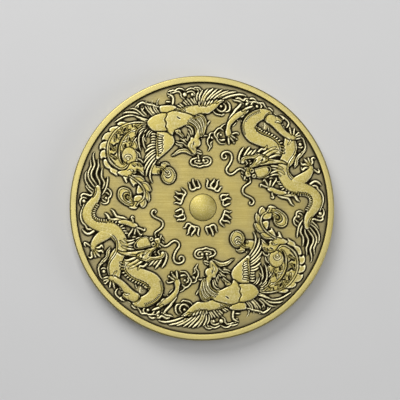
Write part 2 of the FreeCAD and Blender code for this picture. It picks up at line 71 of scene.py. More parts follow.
# the die: a height map that the relief is sculpted on, in mm above the field
die = {
    "pitch": 0.055,         # grid step of the relief
    "reach": 19.25,         # half width of the grid
    "margin": 0.45,         # how far round a shape its wall and its ink can reach
    "sunk": -0.085,         # where a relief piece ends, under the field
    "wallSlope": 4.5,       # steepness of relief walls
    "wallRun": 0.05,        # width of the rounded foot of a wall
    "darkOut": 0.085,        # how far dark patina and painted shade creep from a wall over the relief beside it
    "darkIn": 0.02,          # and over the new shape's own edge
    "wiped": 0.04,          # a new shape hides older patina and painted shade this far inside its edge
    "strokeGain": 1.2,      # strokes are struck this much fuller than drawn
    "strokeEnd": 0.22,      # share of a stroke that tapers, at each end
    "crownShare": 0.8,      # share of a mass's run that is really rounded
    "noRelief": -0.02,      # below this there is nothing left to carve
    "reliefFloor": -0.05,   # a carved relief piece stops here
    "groundGive": 0.12,     # share of the carving that the open ground takes
    "groundFloor": -0.03,
    "grooveFoot": 0.3,      # depth at a groove's edge, against its middle
    "grooveDark": (-0.05, 0.04),     # from outside to inside its edge, where its patina and painted shade fill up
    "pressed": 0.7,         # drawn heights are struck this much lower
    "highest": 0.38,        # and never stand above this, under the rim
}
# what a step uses unless it says otherwise
massStyle = {"foot": 0.72, "moat": 0.3, "reach": 0.16, "ink": 1.0}
strokeStyle = {"foot": 0.35, "moat": 0.07, "reach": 0.11, "ink": 1.0}

halfCount = 2 * int(die["reach"] / die["pitch"] / 2)
axisLine = (np.arange(2 * halfCount + 1) - halfCount) * die["pitch"]
gridX, gridY = np.meshgrid(axisLine, axisLine)
blankGrid = np.full(gridX.shape, die["sunk"])
groundHeight = np.zeros(gridX.shape)
ink = np.zeros(gridX.shape)
layers = {}                 # height of each relief piece, in drawing order
farOut = -9.0               # distance given to places that a shape doesn't reach


def smoothPath(points, step=0.07, closed=False):
    # Catmull-Rom through the drawn points; extra columns (widths) are carried along
    pts = np.asarray(points, float)
    if closed:
        pts = np.vstack([pts[-1], pts, pts[0], pts[1]])
    else:
        pts = np.vstack([2 * pts[0] - pts[1], pts, 2 * pts[-1] - pts[-2]])
    out = []
    for i in range(1, len(pts) - 2):
        p0, p1, p2, p3 = pts[i - 1], pts[i], pts[i + 1], pts[i + 2]
        n = max(1, int(np.hypot(*(p2 - p1)[:2]) / step))
        t = (np.arange(n) / n)[:, None]
        out.append(0.5 * (2 * p1 + (p2 - p0) * t + (2 * p0 - 5 * p1 + 4 * p2 - p3) * t ** 2
                          + (3 * p1 - p0 - 3 * p2 + p3) * t ** 3))
    if not closed:
        out.append(pts[-2][None])
    return np.vstack(out)


def window(points, margin):
    # the part of the grid that a shape can touch
    lo = points[:, :2].min(0) - margin
    hi = points[:, :2].max(0) + margin
    a = np.clip(np.floor(lo / die["pitch"]).astype(int) + halfCount, 0, 2 * halfCount)
    b = np.clip(np.ceil(hi / die["pitch"]).astype(int) + halfCount + 1, 1, 2 * halfCount + 1)
    return slice(a[1], b[1]), slice(a[0], b[0])


def alongStroke(path, half, x, y):
    # signed distance inside a stroke of changing half width, and the half width there
    best = np.full(x.shape, farOut)
    halfHere = np.full(x.shape, half[0])
    if len(path) == 1:
        return half[0] - np.hypot(x - path[0, 0], y - path[0, 1]), halfHere
    for a, b, ra, rb in zip(path[:-1], path[1:], half[:-1], half[1:]):
        d = b - a
        t = np.clip(((x - a[0]) * d[0] + (y - a[1]) * d[1]) / max(d @ d, 1e-9), 0, 1)
        r = ra + (rb - ra) * t
        inside = r - np.hypot(x - a[0] - d[0] * t, y - a[1] - d[1] * t)
        better = inside > best
        best = np.where(better, inside, best)
        halfHere = np.where(better, r, halfHere)
    return best, halfHere


def insideOutline(path, x, y):
    # signed distance inside a closed outline
    edge, _ = alongStroke(np.vstack([path, path[:1]]), np.zeros(len(path) + 1), x, y)
    crossings = np.zeros(x.shape, bool)
    for a, b in zip(path, np.roll(path, -1, 0)):
        if a[1] == b[1]:
            continue
        spans = (a[1] > y) != (b[1] > y)
        crossings ^= spans & (x < (b[0] - a[0]) * (y - a[1]) / (b[1] - a[1]) + a[0])
    return np.where(crossings, -edge, edge)


def ease(t):
    t = np.clip(t, 0, 1)
    return t * t * (3 - 2 * t)


def between(value, low, high):
    # 0 at the low mark, 1 at the high mark, eased
    return ease((value - low) / (high - low))


def domed(d, run, foot):
    # 0 at the wall's foot, 1 on the crown; below the field outside the wall
    t = np.clip(d / run, 0, 1)
    crown = foot + (1 - foot) * np.sqrt(np.clip(1 - (1 - t) ** 2, 0, 1))
    return crown * ease(d / die["wallRun"])


def turned(win):
    # the same window after half a turn of the coin
    n = 2 * halfCount + 1
    return tuple(slice(n - s.stop, n - s.start) for s in win)


def bothHalves(win, *grids):
    # the window and its grids as drawn, then after half a turn
    yield (win, *grids)
    yield (turned(win), *(grid[::-1, ::-1] for grid in grids))


def carve(win, d, style):
    # lowers what is already there beside the new shape, and darkens its foot with patina and painted shade
    near = np.clip(1 + np.minimum(d, 0) / style["reach"], 0, 1)
    drop = style["moat"] * near * near * (3 - 2 * near)
    out = np.exp(-(np.minimum(d, 0) / die["darkOut"]) ** 2) * (d <= 0)
    inn = np.exp(-(np.maximum(d, 0) / die["darkIn"]) ** 2) * (d > 0)
    stainAndShade = style["ink"] * (out + inn)
    wiped = ease(d / die["wiped"])
    for place, dropHere, stainAndShadeHere, wipedHere in bothHalves(win, drop, stainAndShade, wiped):
        for layer in layers.values():
            part = layer[place]
            carved = np.maximum(part - dropHere, die["reliefFloor"])
            layer[place] = np.where(part > die["noRelief"], carved, part)
        pressed = groundHeight[place] - die["groundGive"] * dropHere
        groundHeight[place] = np.maximum(pressed, die["groundFloor"])
        ink[place] = np.maximum(ink[place] * (1 - wipedHere), stainAndShadeHere)


def gather(shapes):
    # joins a group of shapes [(d, run, win)] into one distance field over one window
    rows = [s[2][0] for s in shapes]
    cols = [s[2][1] for s in shapes]
    win = (slice(min(s.start for s in rows), max(s.stop for s in rows)),
           slice(min(s.start for s in cols), max(s.stop for s in cols)))
    d = np.full((win[0].stop - win[0].start, win[1].stop - win[1].start), farOut)
    run = np.full(d.shape, 0.1)
    for own, ownRun, w in shapes:
        place = (slice(w[0].start - win[0].start, w[0].stop - win[0].start),
                 slice(w[1].start - win[1].start, w[1].stop - win[1].start))
        better = own > d[place]
        d[place] = np.where(better, own, d[place])
        run[place] = np.where(better, ownRun, run[place])
    return win, d, run


def pairs(flat, columns=2):
    return np.asarray(flat, float).reshape(-1, columns)


def lineShape(stroke, taper=0.55, bothEnds=True):
    width = stroke[0] * die["strokeGain"]
    pts = pairs(stroke[1:])
    path = smoothPath(pts) if len(pts) > 1 else pts
    s = np.linspace(0, 1, len(path))
    ends = np.minimum(s, 1 - s) if bothEnds else 1 - s
    half = width / 2 * (taper + (1 - taper) * ease(ends / die["strokeEnd"]))
    win = window(path, die["margin"] + width)
    d, r = alongStroke(path, half, gridX[win], gridY[win])
    return d, r, win


def bandShape(stroke, run):
    path = smoothPath(pairs(stroke, 3), 0.1)
    win = window(path, die["margin"] + path[:, 2].max())
    d, r = alongStroke(path[:, :2], path[:, 2] / 2, gridX[win], gridY[win])
    return d, np.minimum(r, run), win


def massShape(outline, run):
    path = smoothPath(pairs(outline), 0.1, closed=True)
    win = window(path, die["margin"])
    d = insideOutline(path, gridX[win], gridY[win])
    return d, np.full(d.shape, run * die["crownShare"]), win


def arcPoints(x, y, radius, start, end, count=9):
    # points along an arc, angles in degrees
    turns = [math.radians(start + (end - start) * k / (count - 1)) for k in range(count)]
    return [v for t in turns for v in (x + radius * math.cos(t), y + radius * math.sin(t))]


def ovalPoints(x, y, halfWide, halfHigh, count=12):
    # points round a closed oval
    turns = [2 * math.pi * k / count for k in range(count)]
    return [v for t in turns for v in (x + halfWide * math.cos(t), y + halfHigh * math.sin(t))]


def toothShapes(spec):
    # small strokes set across a line: [width, length, spacing, lean in degrees, x, y, x, y, ...]
    width, length, spacing, lean = spec[:4]
    path = smoothPath(pairs(spec[4:]), 0.02)
    steps = np.hypot(*np.diff(path, axis=0).T)
    run = np.concatenate([[0], np.cumsum(steps)])
    shapes = []
    for at in np.arange(spacing / 2, run[-1], spacing):
        i = min(int(np.searchsorted(run, at)), len(path) - 2)
        angle = math.atan2(*(path[i + 1] - path[i])[::-1]) + math.radians(lean)
        tip = path[i] + length * np.array([math.cos(angle), math.sin(angle)])
        shapes.append(lineShape([width, *path[i], *tip], 0.35, bothEnds=False))
    return shapes


def shapesOf(kind, stroke, extra):
    if kind == "mass":
        return [massShape(stroke, extra.get("run", 0.5))]
    if kind == "band":
        return [bandShape(stroke, extra.get("run", 9.0))]
    if kind in ("teeth", "nicks"):
        return toothShapes(stroke)
    if kind == "dot":
        return [lineShape([2 * r, x, y], 1.0) for x, y, r in pairs(stroke, 3)]
    return [lineShape(stroke, extra.get("taper", 0.55))]


def raiseShapes(name, kind, rise, shapes, extra):
    # masses and bands stand on the field, strokes on whatever is under them
    solid = kind in ("mass", "band")
    style = {**(massStyle if solid else strokeStyle), **extra}
    win, d, run = gather(shapes)
    base = 0.0 if solid else np.maximum(layers[name][win], 0)
    crown = base + rise * domed(d, np.maximum(run, 0.02), style["foot"])
    wall = np.maximum(d * die["wallSlope"], die["sunk"])
    carve(win, d, style)
    layers[name][win] = np.maximum(layers[name][win], np.where(d > 0, crown, wall))


def cutGroove(name, rise, groove):
    d, run, win = groove
    part = layers[name][win]
    carved = np.maximum(part - rise * domed(d, run, die["grooveFoot"]), die["reliefFloor"])
    layers[name][win] = np.where((d > 0) & (part > die["noRelief"]), carved, part)
    # the groove's foot is darkened with patina and painted shade
    for place, stainAndShade in bothHalves(win, between(d, *die["grooveDark"])):
        ink[place] = np.maximum(ink[place], stainAndShade)


def sculpt(name, work):
    layers[name] = blankGrid.copy()
    for kind, rise, strokes, *rest in work:
        extra = rest[0] if rest else {}
        shapes = [shape for stroke in strokes for shape in shapesOf(kind, stroke, extra)]
        if kind in ("cut", "nicks"):
            for groove in shapes:
                cutGroove(name, rise, groove)
        else:
            raiseShapes(name, kind, rise, shapes, extra)


# each step is (kind, rise in mm, strokes, what it does differently); all places are in mm
# a ridge or a cut is [width, x, y, x, y, ...], a band is [x, y, width, ...], a dot is [x, y, radius, ...]
# a mass is a closed outline [x, y, ...]; teeth and nicks are small strokes set across a line
clouds = {
    "nodes": ("north_clouds", "south_clouds"),
    "work": [],
    "ruyi": [
        ("ridge", 0.24, [[0.22, -0.95, 7.5, -1.3, 7.38, -1.67, 7.22, -1.88, 6.83, -1.62, 6.42, -1.03, 6.3,
                          -0.53, 6.12, 0.06, 6.3, 0.75, 6.4, 1.15, 6.75, 1.2, 7.25, 0.85, 7.58,
                          0.35, 7.62, 0.05, 7.5]], {"taper": 0.9}),
        ("ridge", 0.22, [[0.19, -0.95, 7.15, -1.22, 6.98, -1.12, 6.74, -0.7, 6.66, -0.4, 6.62, -0.1, 6.72],
                         [0.19, 0.45, 7.3, 0.75, 7.12, 0.72, 6.85, 0.4, 6.7, 0.05, 6.78]]),
        ("dot", 0.24, [[-0.6, 7.05, 0.19, 0.1, 7.1, 0.19]]),
        ("ridge", 0.24, [[0.2, -0.72, 7.95, -0.68, 7.6, -0.6, 7.3],
                         [0.17, -0.98, 8.6, -0.6, 8.6, -0.2, 8.35],
                         [0.2, -0.9, 8.3, -0.5, 8.12, -0.1, 8.1]]),
    ],
    "byUpperHand": [
        ("ridge", 0.2, [[0.2, 3.42, 12.7, 3.0, 12.45, 2.65, 12.08, 2.3, 11.95, 1.98, 11.6, 1.75, 11.2,
                         1.85, 10.8, 2.12, 10.5, 2.2, 10.2, 2.45, 9.88, 2.75, 9.68, 3.4, 9.65],
                        [0.18, 2.66, 12.05, 3.12, 11.65],
                        [0.18, 2.52, 11.36, 2.25, 11.15, 2.18, 10.85, 2.32, 10.6],
                        [0.2, 1.72, 11.32, 1.3, 11.3, 1.0, 11.02, 1.0, 10.7, 0.75, 10.35, 0.68, 9.9,
                         0.8, 9.5, 1.05, 9.2, 1.0, 8.9, 0.75, 8.5],
                        [0.16, 1.55, 10.0, 1.2, 9.82, 1.2, 9.55, 1.3, 9.3, 1.15, 9.05],
                        [0.18, 0.12, 10.8, 0.38, 10.88, 0.65, 10.85], [0.12, -0.3, 10.42, -0.05, 10.35]]),
        ("mass", 0.15, [[1.3, 10.8, 1.62, 10.42, 1.2, 10.42],
                        [2.45, 10.4, 2.8, 10.3, 3.3, 10.45, 3.35, 10.15, 2.7, 10.1]],
         {"run": 0.2}),
        ("dot", 0.2, [[2.75, 11.0, 0.16]]),
        ("ridge", 0.16, [[0.17, 1.1, 13.2, 0.85, 12.85, 0.65, 12.45]]),
    ],
    "byWingTip": [
        ("ridge", 0.2, [[0.22, 3.2, 15.8, 3.48, 15.4, 3.42, 14.95, 3.1, 14.62, 2.7, 14.6, 2.35, 14.8,
                         2.15, 15.0],
                        [0.24, 3.7, 16.1, 4.0, 15.75, 4.12, 15.3, 4.05, 14.85, 3.8, 14.6, 3.45, 14.55],
                        [0.2, 1.6, 14.6, 1.85, 14.3, 2.2, 14.12, 2.6, 14.05, 2.95, 14.0, 3.3, 14.25]]),
        ("dot", 0.22, [[2.77, 15.36, 0.17]]),
    ],
    "topLine": [
        ("ridge", 0.2, [[0.24, 4.55, 16.4, 4.95, 16.25, 5.4, 16.2, 5.8, 16.0, 6.2, 15.75],
                        [0.26, 5.0, 16.55, 5.45, 16.65, 5.85, 16.45, 6.2, 16.3, 6.5, 16.55, 6.9, 16.6],
                        [0.26, 7.15, 16.55, 7.65, 16.62, 8.1, 16.35],
                        [0.3, 6.95, 16.05, 6.55, 15.6],
                        [0.24, 7.0, 16.1, 7.5, 16.05, 8.1, 16.1, 8.4, 15.95, 8.85, 15.92, 9.15, 15.93,
                         9.35, 15.7, 9.5, 15.38, 9.8, 15.1],
                        [0.2, 7.3, 15.6, 7.55, 15.95], [0.2, 8.7, 15.8, 8.95, 15.5, 8.8, 15.12, 8.55, 15.0],
                        [0.24, 10.0, 15.2, 10.4, 15.0, 10.7, 14.65]]),
        ("dot", 0.22, [[8.25, 15.4, 0.19, 6.75, 16.22, 0.18]]),
        ("ridge", 0.22, [[0.3, 5.95, 15.95, 5.65, 15.55, 5.3, 15.15, 4.9, 14.75, 4.65, 14.3, 4.4, 14.0,
                          4.1, 13.6, 3.92, 13.25]]),
        ("ridge", 0.16, [[0.2, 11.7, 14.1, 12.1, 13.85, 12.3, 13.55, 12.1, 13.4],
                         [0.22, 12.1, 14.0, 12.65, 13.5, 13.0, 13.15, 13.12, 12.8, 12.95, 12.4,
                          12.75, 12.2]]),
    ],
    "byFoot": [
        ("mass", 0.16, [[15.35, 8.75, 15.75, 8.85, 15.3, 8.2, 14.9, 7.75, 14.55, 7.3, 14.5, 6.9,
                         14.3, 6.4, 13.85, 5.9, 13.95, 6.6, 14.1, 7.3, 14.5, 8.0, 15.0, 8.5]],
         {"run": 0.3}),
        ("ridge", 0.2, [[0.2, 14.8, 10.9, 15.3, 10.5, 15.52, 9.9, 15.65, 9.2, 15.4, 8.7, 15.0, 8.35],
                        [0.18, 14.5, 9.25, 14.9, 9.12, 15.3, 9.3],
                        [0.16, 15.8, 8.9, 15.3, 8.3, 14.95, 7.85, 14.5, 7.45, 14.4, 6.6, 14.15, 6.3,
                         13.9, 5.95]]),
        ("dot", 0.24, [[14.85, 9.65, 0.21, 12.1, 12.65, 0.11]]),
        ("ridge", 0.16, [[0.16, 12.25, 12.4, 12.42, 12.0, 12.5, 11.6]]),
    ],
    "flames": [
        ("ridge", 0.22, [[0.3, 16.1, 3.3, 16.5, 3.7, 17.0, 4.0, 17.4, 4.0, 17.8, 3.7, 18.05, 3.4],
                         [0.24, 15.6, 3.1, 16.2, 3.1, 16.75, 3.3, 17.1, 3.35, 17.4, 3.2, 17.6, 2.75,
                          18.0, 2.4, 18.25, 1.9, 18.35, 1.45, 18.3, 0.95, 18.1, 0.3, 17.85, -0.4],
                         [0.34, 12.35, 1.9, 13.0, 1.85, 13.55, 1.9, 14.0, 1.8, 14.2, 1.45, 14.45, 1.1,
                          14.7, 0.95],
                         [0.3, 11.45, 1.8, 11.95, 1.6, 12.55, 1.5, 12.95, 1.4, 13.2, 1.1, 13.45, 0.65,
                          13.8, 0.35]]),
    ],
    "byTail": [
        ("ridge", 0.2, [[0.22, 15.25, -0.65, 14.85, -0.5, 14.4, -0.6, 14.2, -0.9, 14.2, -1.3,
                         13.95, -1.55, 13.8, -2.0, 13.95, -2.45, 14.3, -2.75, 14.6, -2.8],
                        [0.18, 14.1, -1.8, 14.3, -2.05, 14.6, -2.2],
                        [0.2, 14.6, -0.85, 14.85, -0.92, 15.1, -1.15],
                        [0.24, 18.3, -0.15, 18.45, -0.6, 18.4, -1.05, 18.2, -1.35, 18.28, -1.7,
                         18.0, -1.95, 17.5, -1.9, 16.95, -1.72, 16.65, -1.85, 16.45, -2.2, 16.45, -2.55],
                        [0.18, 17.45, -1.28, 17.85, -1.42, 18.15, -1.35]]),
        ("dot", 0.24, [[14.55, -1.35, 0.18, 17.87, -0.88, 0.22]]),
    ],
}
for part in ("ruyi", "byUpperHand", "byWingTip", "topLine", "byFoot", "flames", "byTail"):
    clouds["work"] += clouds[part]
sculpt("clouds", clouds["work"])
print("clouds drawn")

phoenixPlumes = {
    "nodes": ("north_phoenix_plumes", "south_phoenix_plumes"),
    "work": [
        # the broad plume: lobes outside its spine, leaf tips and notches inside
        ("mass", 0.2, [[-12.97, 12.52, -12.5, 12.84, -11.85, 12.86, -11.3, 12.7, -12.1, 12.4, -12.69, 12.3],
                       [-14.15, 11.62, -13.92, 11.95, -13.35, 12.14, -12.6, 12.2, -13.16, 11.72,
                        -13.63, 11.25, -14.06, 11.39],
                       [-15.23, 10.07, -15.05, 10.63, -14.67, 11.1, -14.1, 11.29, -13.6, 11.25,
                        -14.05, 10.6, -14.35, 10.0, -14.86, 10.16],
                       [-15.55, 8.6, -15.56, 9.13, -15.33, 9.6, -14.76, 9.88, -14.4, 9.9, -14.6, 9.3,
                        -14.68, 8.7, -15.14, 8.84],
                       [-15.33, 7.2, -15.5, 7.81, -15.33, 8.37, -14.76, 8.61, -14.66, 8.0, -14.6, 7.4,
                        -15.0, 7.43],
                       [-14.67, 6.0, -14.95, 6.58, -14.95, 7.06, -14.55, 7.2, -14.3, 6.65, -13.85, 6.05,
                        -13.5, 5.64, -14.15, 5.74],
                       [-13.95, 5.3, -13.38, 4.97, -12.85, 4.58, -12.9, 4.89, -12.6, 5.2, -13.1, 5.65,
                        -13.92, 5.9]],
         {"run": 0.3, "moat": 0.05}),
        ("mass", 0.17, [[-8.5, 12.6, -9.2, 12.95, -10.2, 12.95, -11.2, 12.65, -12.2, 12.15, -13.2, 11.3,
                         -13.9, 10.3, -14.3, 9.2, -14.4, 8.0, -14.1, 7.1, -13.4, 6.2, -12.6, 5.65,
                         -11.8, 5.7, -11.3, 6.2, -10.9, 6.9, -9.9, 7.0, -9.9, 8.2, -10.2, 8.8, -9.8, 8.8,
                         -9.9, 9.5, -10.4, 10.0, -10.1, 10.7, -10.0, 11.3, -9.4, 11.9]], {"run": 0.4}),
        ("cut", 0.24, [[0.28, -11.75, 11.88, -11.88, 11.46], [0.2, -12.0, 10.96, -12.55, 10.77],
                       [0.22, -13.07, 11.01, -12.97, 10.35],
                       [0.24, -13.82, 9.5, -13.45, 9.2, -13.07, 9.5, -12.79, 9.64],
                       [0.24, -13.92, 8.04, -13.45, 7.88, -13.07, 8.19],
                       [0.27, -11.7, 9.5, -11.66, 9.03], [0.2, -11.05, 10.44, -11.0, 9.95],
                       [0.2, -11.16, 9.6, -11.1, 9.55],
                       [0.16, -11.28, 11.67, -10.85, 11.78], [0.17, -10.74, 12.52, -10.6, 12.05],
                       [0.3, -13.9, 8.9, -13.85, 8.6],
                       [0.16, -11.05, 11.35, -11.85, 10.88, -12.41, 10.16, -12.72, 9.31, -12.86, 8.4,
                        -12.86, 7.6],
                       [0.2, -12.36, 8.5, -12.4, 7.6, -12.13, 6.9, -12.0, 6.5],
                       [0.14, -10.06, 10.92, -10.6, 9.97, -10.82, 9.13],
                       [0.15, -14.05, 7.45, -13.6, 6.85, -13.2, 6.45], [0.14, -13.6, 7.35, -13.1, 7.05],
                       [0.15, -10.3, 12.3, -9.8, 11.75], [0.13, -9.4, 12.3, -8.8, 12.5],
                       [0.14, -9.6, 11.6, -9.1, 12.0]]),
        ("ridge", 0.11, [[0.22, -8.7, 12.75, -9.59, 12.82, -10.53, 12.77, -11.28, 12.61, -12.03, 12.28,
                          -12.79, 11.81, -13.45, 11.15, -13.92, 10.44, -14.25, 9.69, -14.39, 8.94,
                          -14.39, 8.19, -14.29, 7.53, -14.01, 6.87, -13.54, 6.35, -12.97, 5.97,
                          -12.41, 5.71, -11.94, 5.76, -11.47, 6.07, -11.19, 6.49, -11.14, 6.77]],
         {"moat": 0.2, "reach": 0.14, "taper": 0.8}),
        ("ridge", 0.09, [[0.19, -10.81, 11.43, -11.47, 10.96, -12.03, 10.26, -12.35, 9.6, -12.58, 8.94,
                          -12.62, 8.19, -12.6, 7.53, -12.45, 7.0, -12.2, 6.55, -11.9, 6.4],
                         [0.17, -10.9, 11.43, -10.34, 11.53, -9.77, 12.04, -9.21, 12.5, -8.65, 12.66],
                         [0.17, -10.15, 11.05, -9.62, 11.8, -9.02, 12.15, -8.65, 12.28],
                         [0.15, -10.34, 12.14, -9.96, 12.42, -9.5, 12.55],
                         [0.15, -9.65, 11.25, -9.21, 11.67, -8.65, 11.92],
                         [0.15, -10.3, 10.6, -10.75, 9.85, -11.0, 9.2],
                         [0.15, -10.0, 10.5, -10.43, 9.9, -10.68, 9.3],
                         [0.15, -10.2, 10.1, -9.98, 9.5, -9.85, 8.95],
                         [0.16, -13.95, 9.45, -13.65, 9.0, -13.4, 8.5],
                         [0.17, -13.95, 7.75, -13.5, 7.6, -13.0, 7.3],
                         [0.15, -12.95, 9.4, -13.1, 8.9, -13.0, 8.4],
                         [0.15, -13.3, 10.9, -13.2, 10.4, -13.35, 10.0],
                         [0.14, -11.35, 12.2, -11.5, 11.9, -11.3, 11.5],
                         [0.14, -12.2, 11.9, -12.15, 11.5, -11.75, 11.2],
                         [0.14, -12.1, 9.9, -11.8, 9.9, -11.4, 10.2], [0.14, -12.6, 11.35, -12.45, 11.0]],
         {"moat": 0.1, "reach": 0.12}),
        ("ridge", 0.1, [[0.17, -13.35, 10.5, -13.2, 10.15, -13.3, 9.9],
                        [0.18, -13.85, 9.1, -13.65, 8.75, -13.4, 8.5],
                        [0.2, -13.9, 7.85, -13.4, 7.55, -12.95, 7.3], [0.17, -12.95, 11.35, -12.75, 11.1],
                        [0.17, -12.3, 12.05, -12.35, 11.75],
                        [0.18, -11.95, 11.15, -11.65, 11.4, -11.3, 11.45],
                        [0.16, -12.35, 10.45, -12.7, 10.3],
                        [0.17, -11.25, 10.75, -11.3, 10.2, -11.45, 9.85],
                        [0.16, -10.65, 10.4, -10.75, 9.9], [0.16, -12.0, 9.3, -11.95, 8.85]],
         {"moat": 0.12, "reach": 0.1}),
        ("ridge", 0.05, [[0.13, -12.95, 12.55, -12.45, 12.84, -11.85, 12.86],
                         [0.13, -14.13, 11.6, -13.9, 11.93, -13.3, 12.12],
                         [0.13, -15.2, 10.1, -15.0, 10.65, -14.62, 11.08, -14.1, 11.25],
                         [0.13, -15.53, 8.65, -15.5, 9.15, -15.25, 9.6, -14.8, 9.82],
                         [0.13, -15.33, 7.3, -15.45, 7.85, -15.25, 8.35, -14.85, 8.55],
                         [0.13, -14.6, 6.05, -14.9, 6.6, -14.85, 7.0],
                         [0.14, -13.9, 5.35, -13.3, 5.0, -12.9, 4.68]], {"moat": 0.0, "ink": 0.0}),
        # the eye where the plume curls in
        ("mass", 0.24, [ovalPoints(-11.12, 7.76, 1.1, 1.26)], {"run": 0.4, "moat": 0.2}),
        ("cut", 0.13, [[0.1, *arcPoints(-11.28, 7.3, 0.36, -20, 200)],
                       [0.09, *arcPoints(-11.26, 7.36, 0.62, -15, 195)],
                       [0.12, -11.45, 6.9, -11.5, 6.6]]),
        ("dot", 0.06, [[-11.27, 7.2, 0.14]], {"moat": 0.03}),
        ("ridge", 0.18, [[0.19, -10.0, 8.4, -9.62, 8.05, -9.46, 7.5],
                         [0.2, -9.95, 7.34, -9.35, 7.1, -9.0, 6.62]]),
        # leaves between the two plumes
        ("mass", 0.2, [[-12.9, 5.15, -12.3, 5.5, -11.6, 5.6, -11.3, 6.0, -10.9, 6.6, -10.2, 6.8,
                        -9.5, 6.7, -9.0, 6.1, -8.9, 5.2, -8.85, 4.8, -9.3, 5.0, -9.6, 5.45, -9.95, 5.7,
                        -10.15, 5.3, -10.5, 5.1, -10.8, 4.9, -11.0, 4.5, -11.97, 4.6]],
         {"run": 0.35}),
        ("cut", 0.2, [[0.18, -10.55, 5.55, -10.37, 5.2], [0.22, -10.0, 5.7, -9.84, 5.15, -10.35, 4.93],
                      [0.16, -9.84, 5.15, -9.3, 4.85],
                      [0.13, -10.6, 6.25, -10.2, 6.05], [0.12, -9.9, 6.5, -9.75, 6.1],
                      [0.11, -11.4, 5.5, -11.0, 5.7], [0.12, -9.4, 6.4, -9.3, 6.0]]),
        ("ridge", 0.06, [[0.2, -10.85, 5.6, -10.6, 5.48, -10.4, 5.12, -10.05, 5.3],
                         [0.2, -9.85, 5.62, -9.45, 5.33, -9.1, 4.97, -8.85, 4.8],
                         [0.14, -10.7, 6.55, -10.3, 6.3, -10.0, 6.5],
                         [0.14, -9.75, 6.6, -9.4, 6.2, -9.1, 6.3]], {"moat": 0.05}),
        # lower plume
        ("mass", 0.2, [[-12.01, 4.62, -11.88, 4.18, -11.57, 3.6, -11.39, 3.82, -11.48, 4.27, -11.2, 4.4],
                       [-11.05, 4.4, -10.9, 3.82, -10.64, 3.38, -10.42, 2.98, -10.28, 3.38, -9.9, 3.56,
                        -10.3, 3.96, -10.6, 4.22],
                       [-9.75, 3.25, -9.97, 2.58, -9.93, 2.03, -9.4, 2.05, -9.05, 2.3, -9.2, 2.85,
                        -9.5, 3.3],
                       [-10.4, 1.34, -10.11, 1.72, -9.22, 1.76, -9.2, 1.25, -9.65, 0.75, -10.4, 0.7]],
         {"run": 0.25}),
        ("mass", 0.12, [[-10.8, 4.9, -9.6, 4.65, -8.8, 4.1, -9.1, 3.75, -9.9, 4.1],
                        [-9.2, 3.7, -8.5, 3.6, -8.0, 3.0, -7.85, 2.45, -8.45, 2.4, -8.8, 2.9],
                        [-8.6, 2.45, -8.15, 2.0, -8.15, 0.9, -8.6, 1.3, -8.75, 1.9],
                        [-8.8, 1.2, -8.62, 0.7, -9.1, -0.1, -9.5, 0.6]], {"run": 0.2, "moat": 0.0}),
        ("mass", 0.2, [[-11.05, 0.2, -11.1, -0.08, -10.4, -0.3, -10.0, -0.2, -9.6, 0.5, -10.0, 0.8,
                        -10.6, 0.6]], {"run": 0.2}),
        ("ridge", 0.1, [[0.2, -10.73, 4.95, -10.5, 4.7, -10.02, 4.68, -9.49, 4.62, -9.13, 4.4, -8.78, 4.04],
                        [0.2, -9.22, 3.62, -8.78, 3.72, -8.42, 3.56, -8.11, 3.2, -7.9, 2.76, -7.84, 2.41],
                        [0.2, -8.55, 2.45, -8.25, 2.14, -8.07, 1.7, -8.07, 1.25, -8.16, 0.81],
                        [0.2, -8.69, 1.16, -8.6, 0.63, -8.78, 0.19, -9.13, -0.12]], {"moat": 0.06}),
        ("cut", 0.14, [[0.1, -10.9, 4.4, -10.4, 4.05, -9.85, 3.6, -9.45, 3.1, -9.2, 2.55]]),
        ("ridge", 0.24, [[0.22, -11.08, 4.66, -10.55, 4.33, -9.93, 3.89, -9.46, 3.47, -9.1, 3.03,
                          -8.87, 2.49, -8.8, 1.96, -8.91, 1.43, -9.22, 0.99, -9.66, 0.68, -9.95, 0.2]],
         {"moat": 0.2, "reach": 0.13, "taper": 0.8}),
        ("mass", 0.17, [[-10.64, 1.17, -10.84, 1.61, -10.8, 2.05, -10.99, 2.49, -11.35, 2.82,
                         -12.05, 2.96, -12.59, 2.7, -12.8, 2.23, -12.83, 1.7, -12.62, 1.15, -12.14, 0.7,
                         -11.61, 0.33, -11.08, 0.15, -10.5, 0.3]], {"run": 0.5}),
        ("cut", 0.16, [[0.16, -11.05, 1.7, -11.4, 1.85, -11.62, 1.6, -11.52, 1.25, -11.2, 1.0],
                       [0.1, -11.3, 1.5, -11.25, 1.4],
                       [0.1, -11.1, 2.2, -11.7, 2.25, -12.08, 1.85, -12.0, 1.25]]),
        ("ridge", 0.1, [[0.22, -10.64, 1.17, -10.86, 1.61, -10.84, 2.05, -11.02, 2.47, -11.38, 2.77,
                         -12.05, 2.9, -12.55, 2.65, -12.72, 2.23, -12.76, 1.7, -12.56, 1.2, -12.12, 0.77,
                         -11.6, 0.42, -11.1, 0.24],
                        [0.18, -11.08, 1.9, -11.26, 2.05, -11.61, 2.05, -11.86, 1.79, -11.82, 1.34,
                         -11.52, 0.99, -10.99, 0.72, -10.4, 0.6],
                        [0.15, -11.25, 1.62, -11.42, 1.42, -11.15, 1.2]], {"moat": 0.1, "taper": 0.8}),
        # outer thin plumes
        ("ridge", 0.2, [[0.22, -13.38, 12.78, -12.8, 13.15, -12.2, 13.5, -11.6, 13.75, -11.0, 13.86,
                         -10.5, 13.85, -10.15, 13.78],
                        [0.26, -10.2, 13.78, -9.8, 13.6, -9.3, 13.45, -8.9, 13.3, -8.4, 13.22],
                        [0.24, -12.1, 14.12, -11.6, 14.3, -11.1, 14.35, -10.5, 14.32, -10.0, 14.2,
                         -9.65, 14.0],
                        [0.22, -11.05, 14.88, -10.5, 14.87, -10.1, 14.75, -9.8, 14.55, -9.5, 14.3,
                         -9.2, 14.0, -8.9, 13.8, -8.55, 13.75],
                        [0.2, -9.33, 15.0, -9.13, 14.53, -8.73, 14.13, -8.47, 13.87],
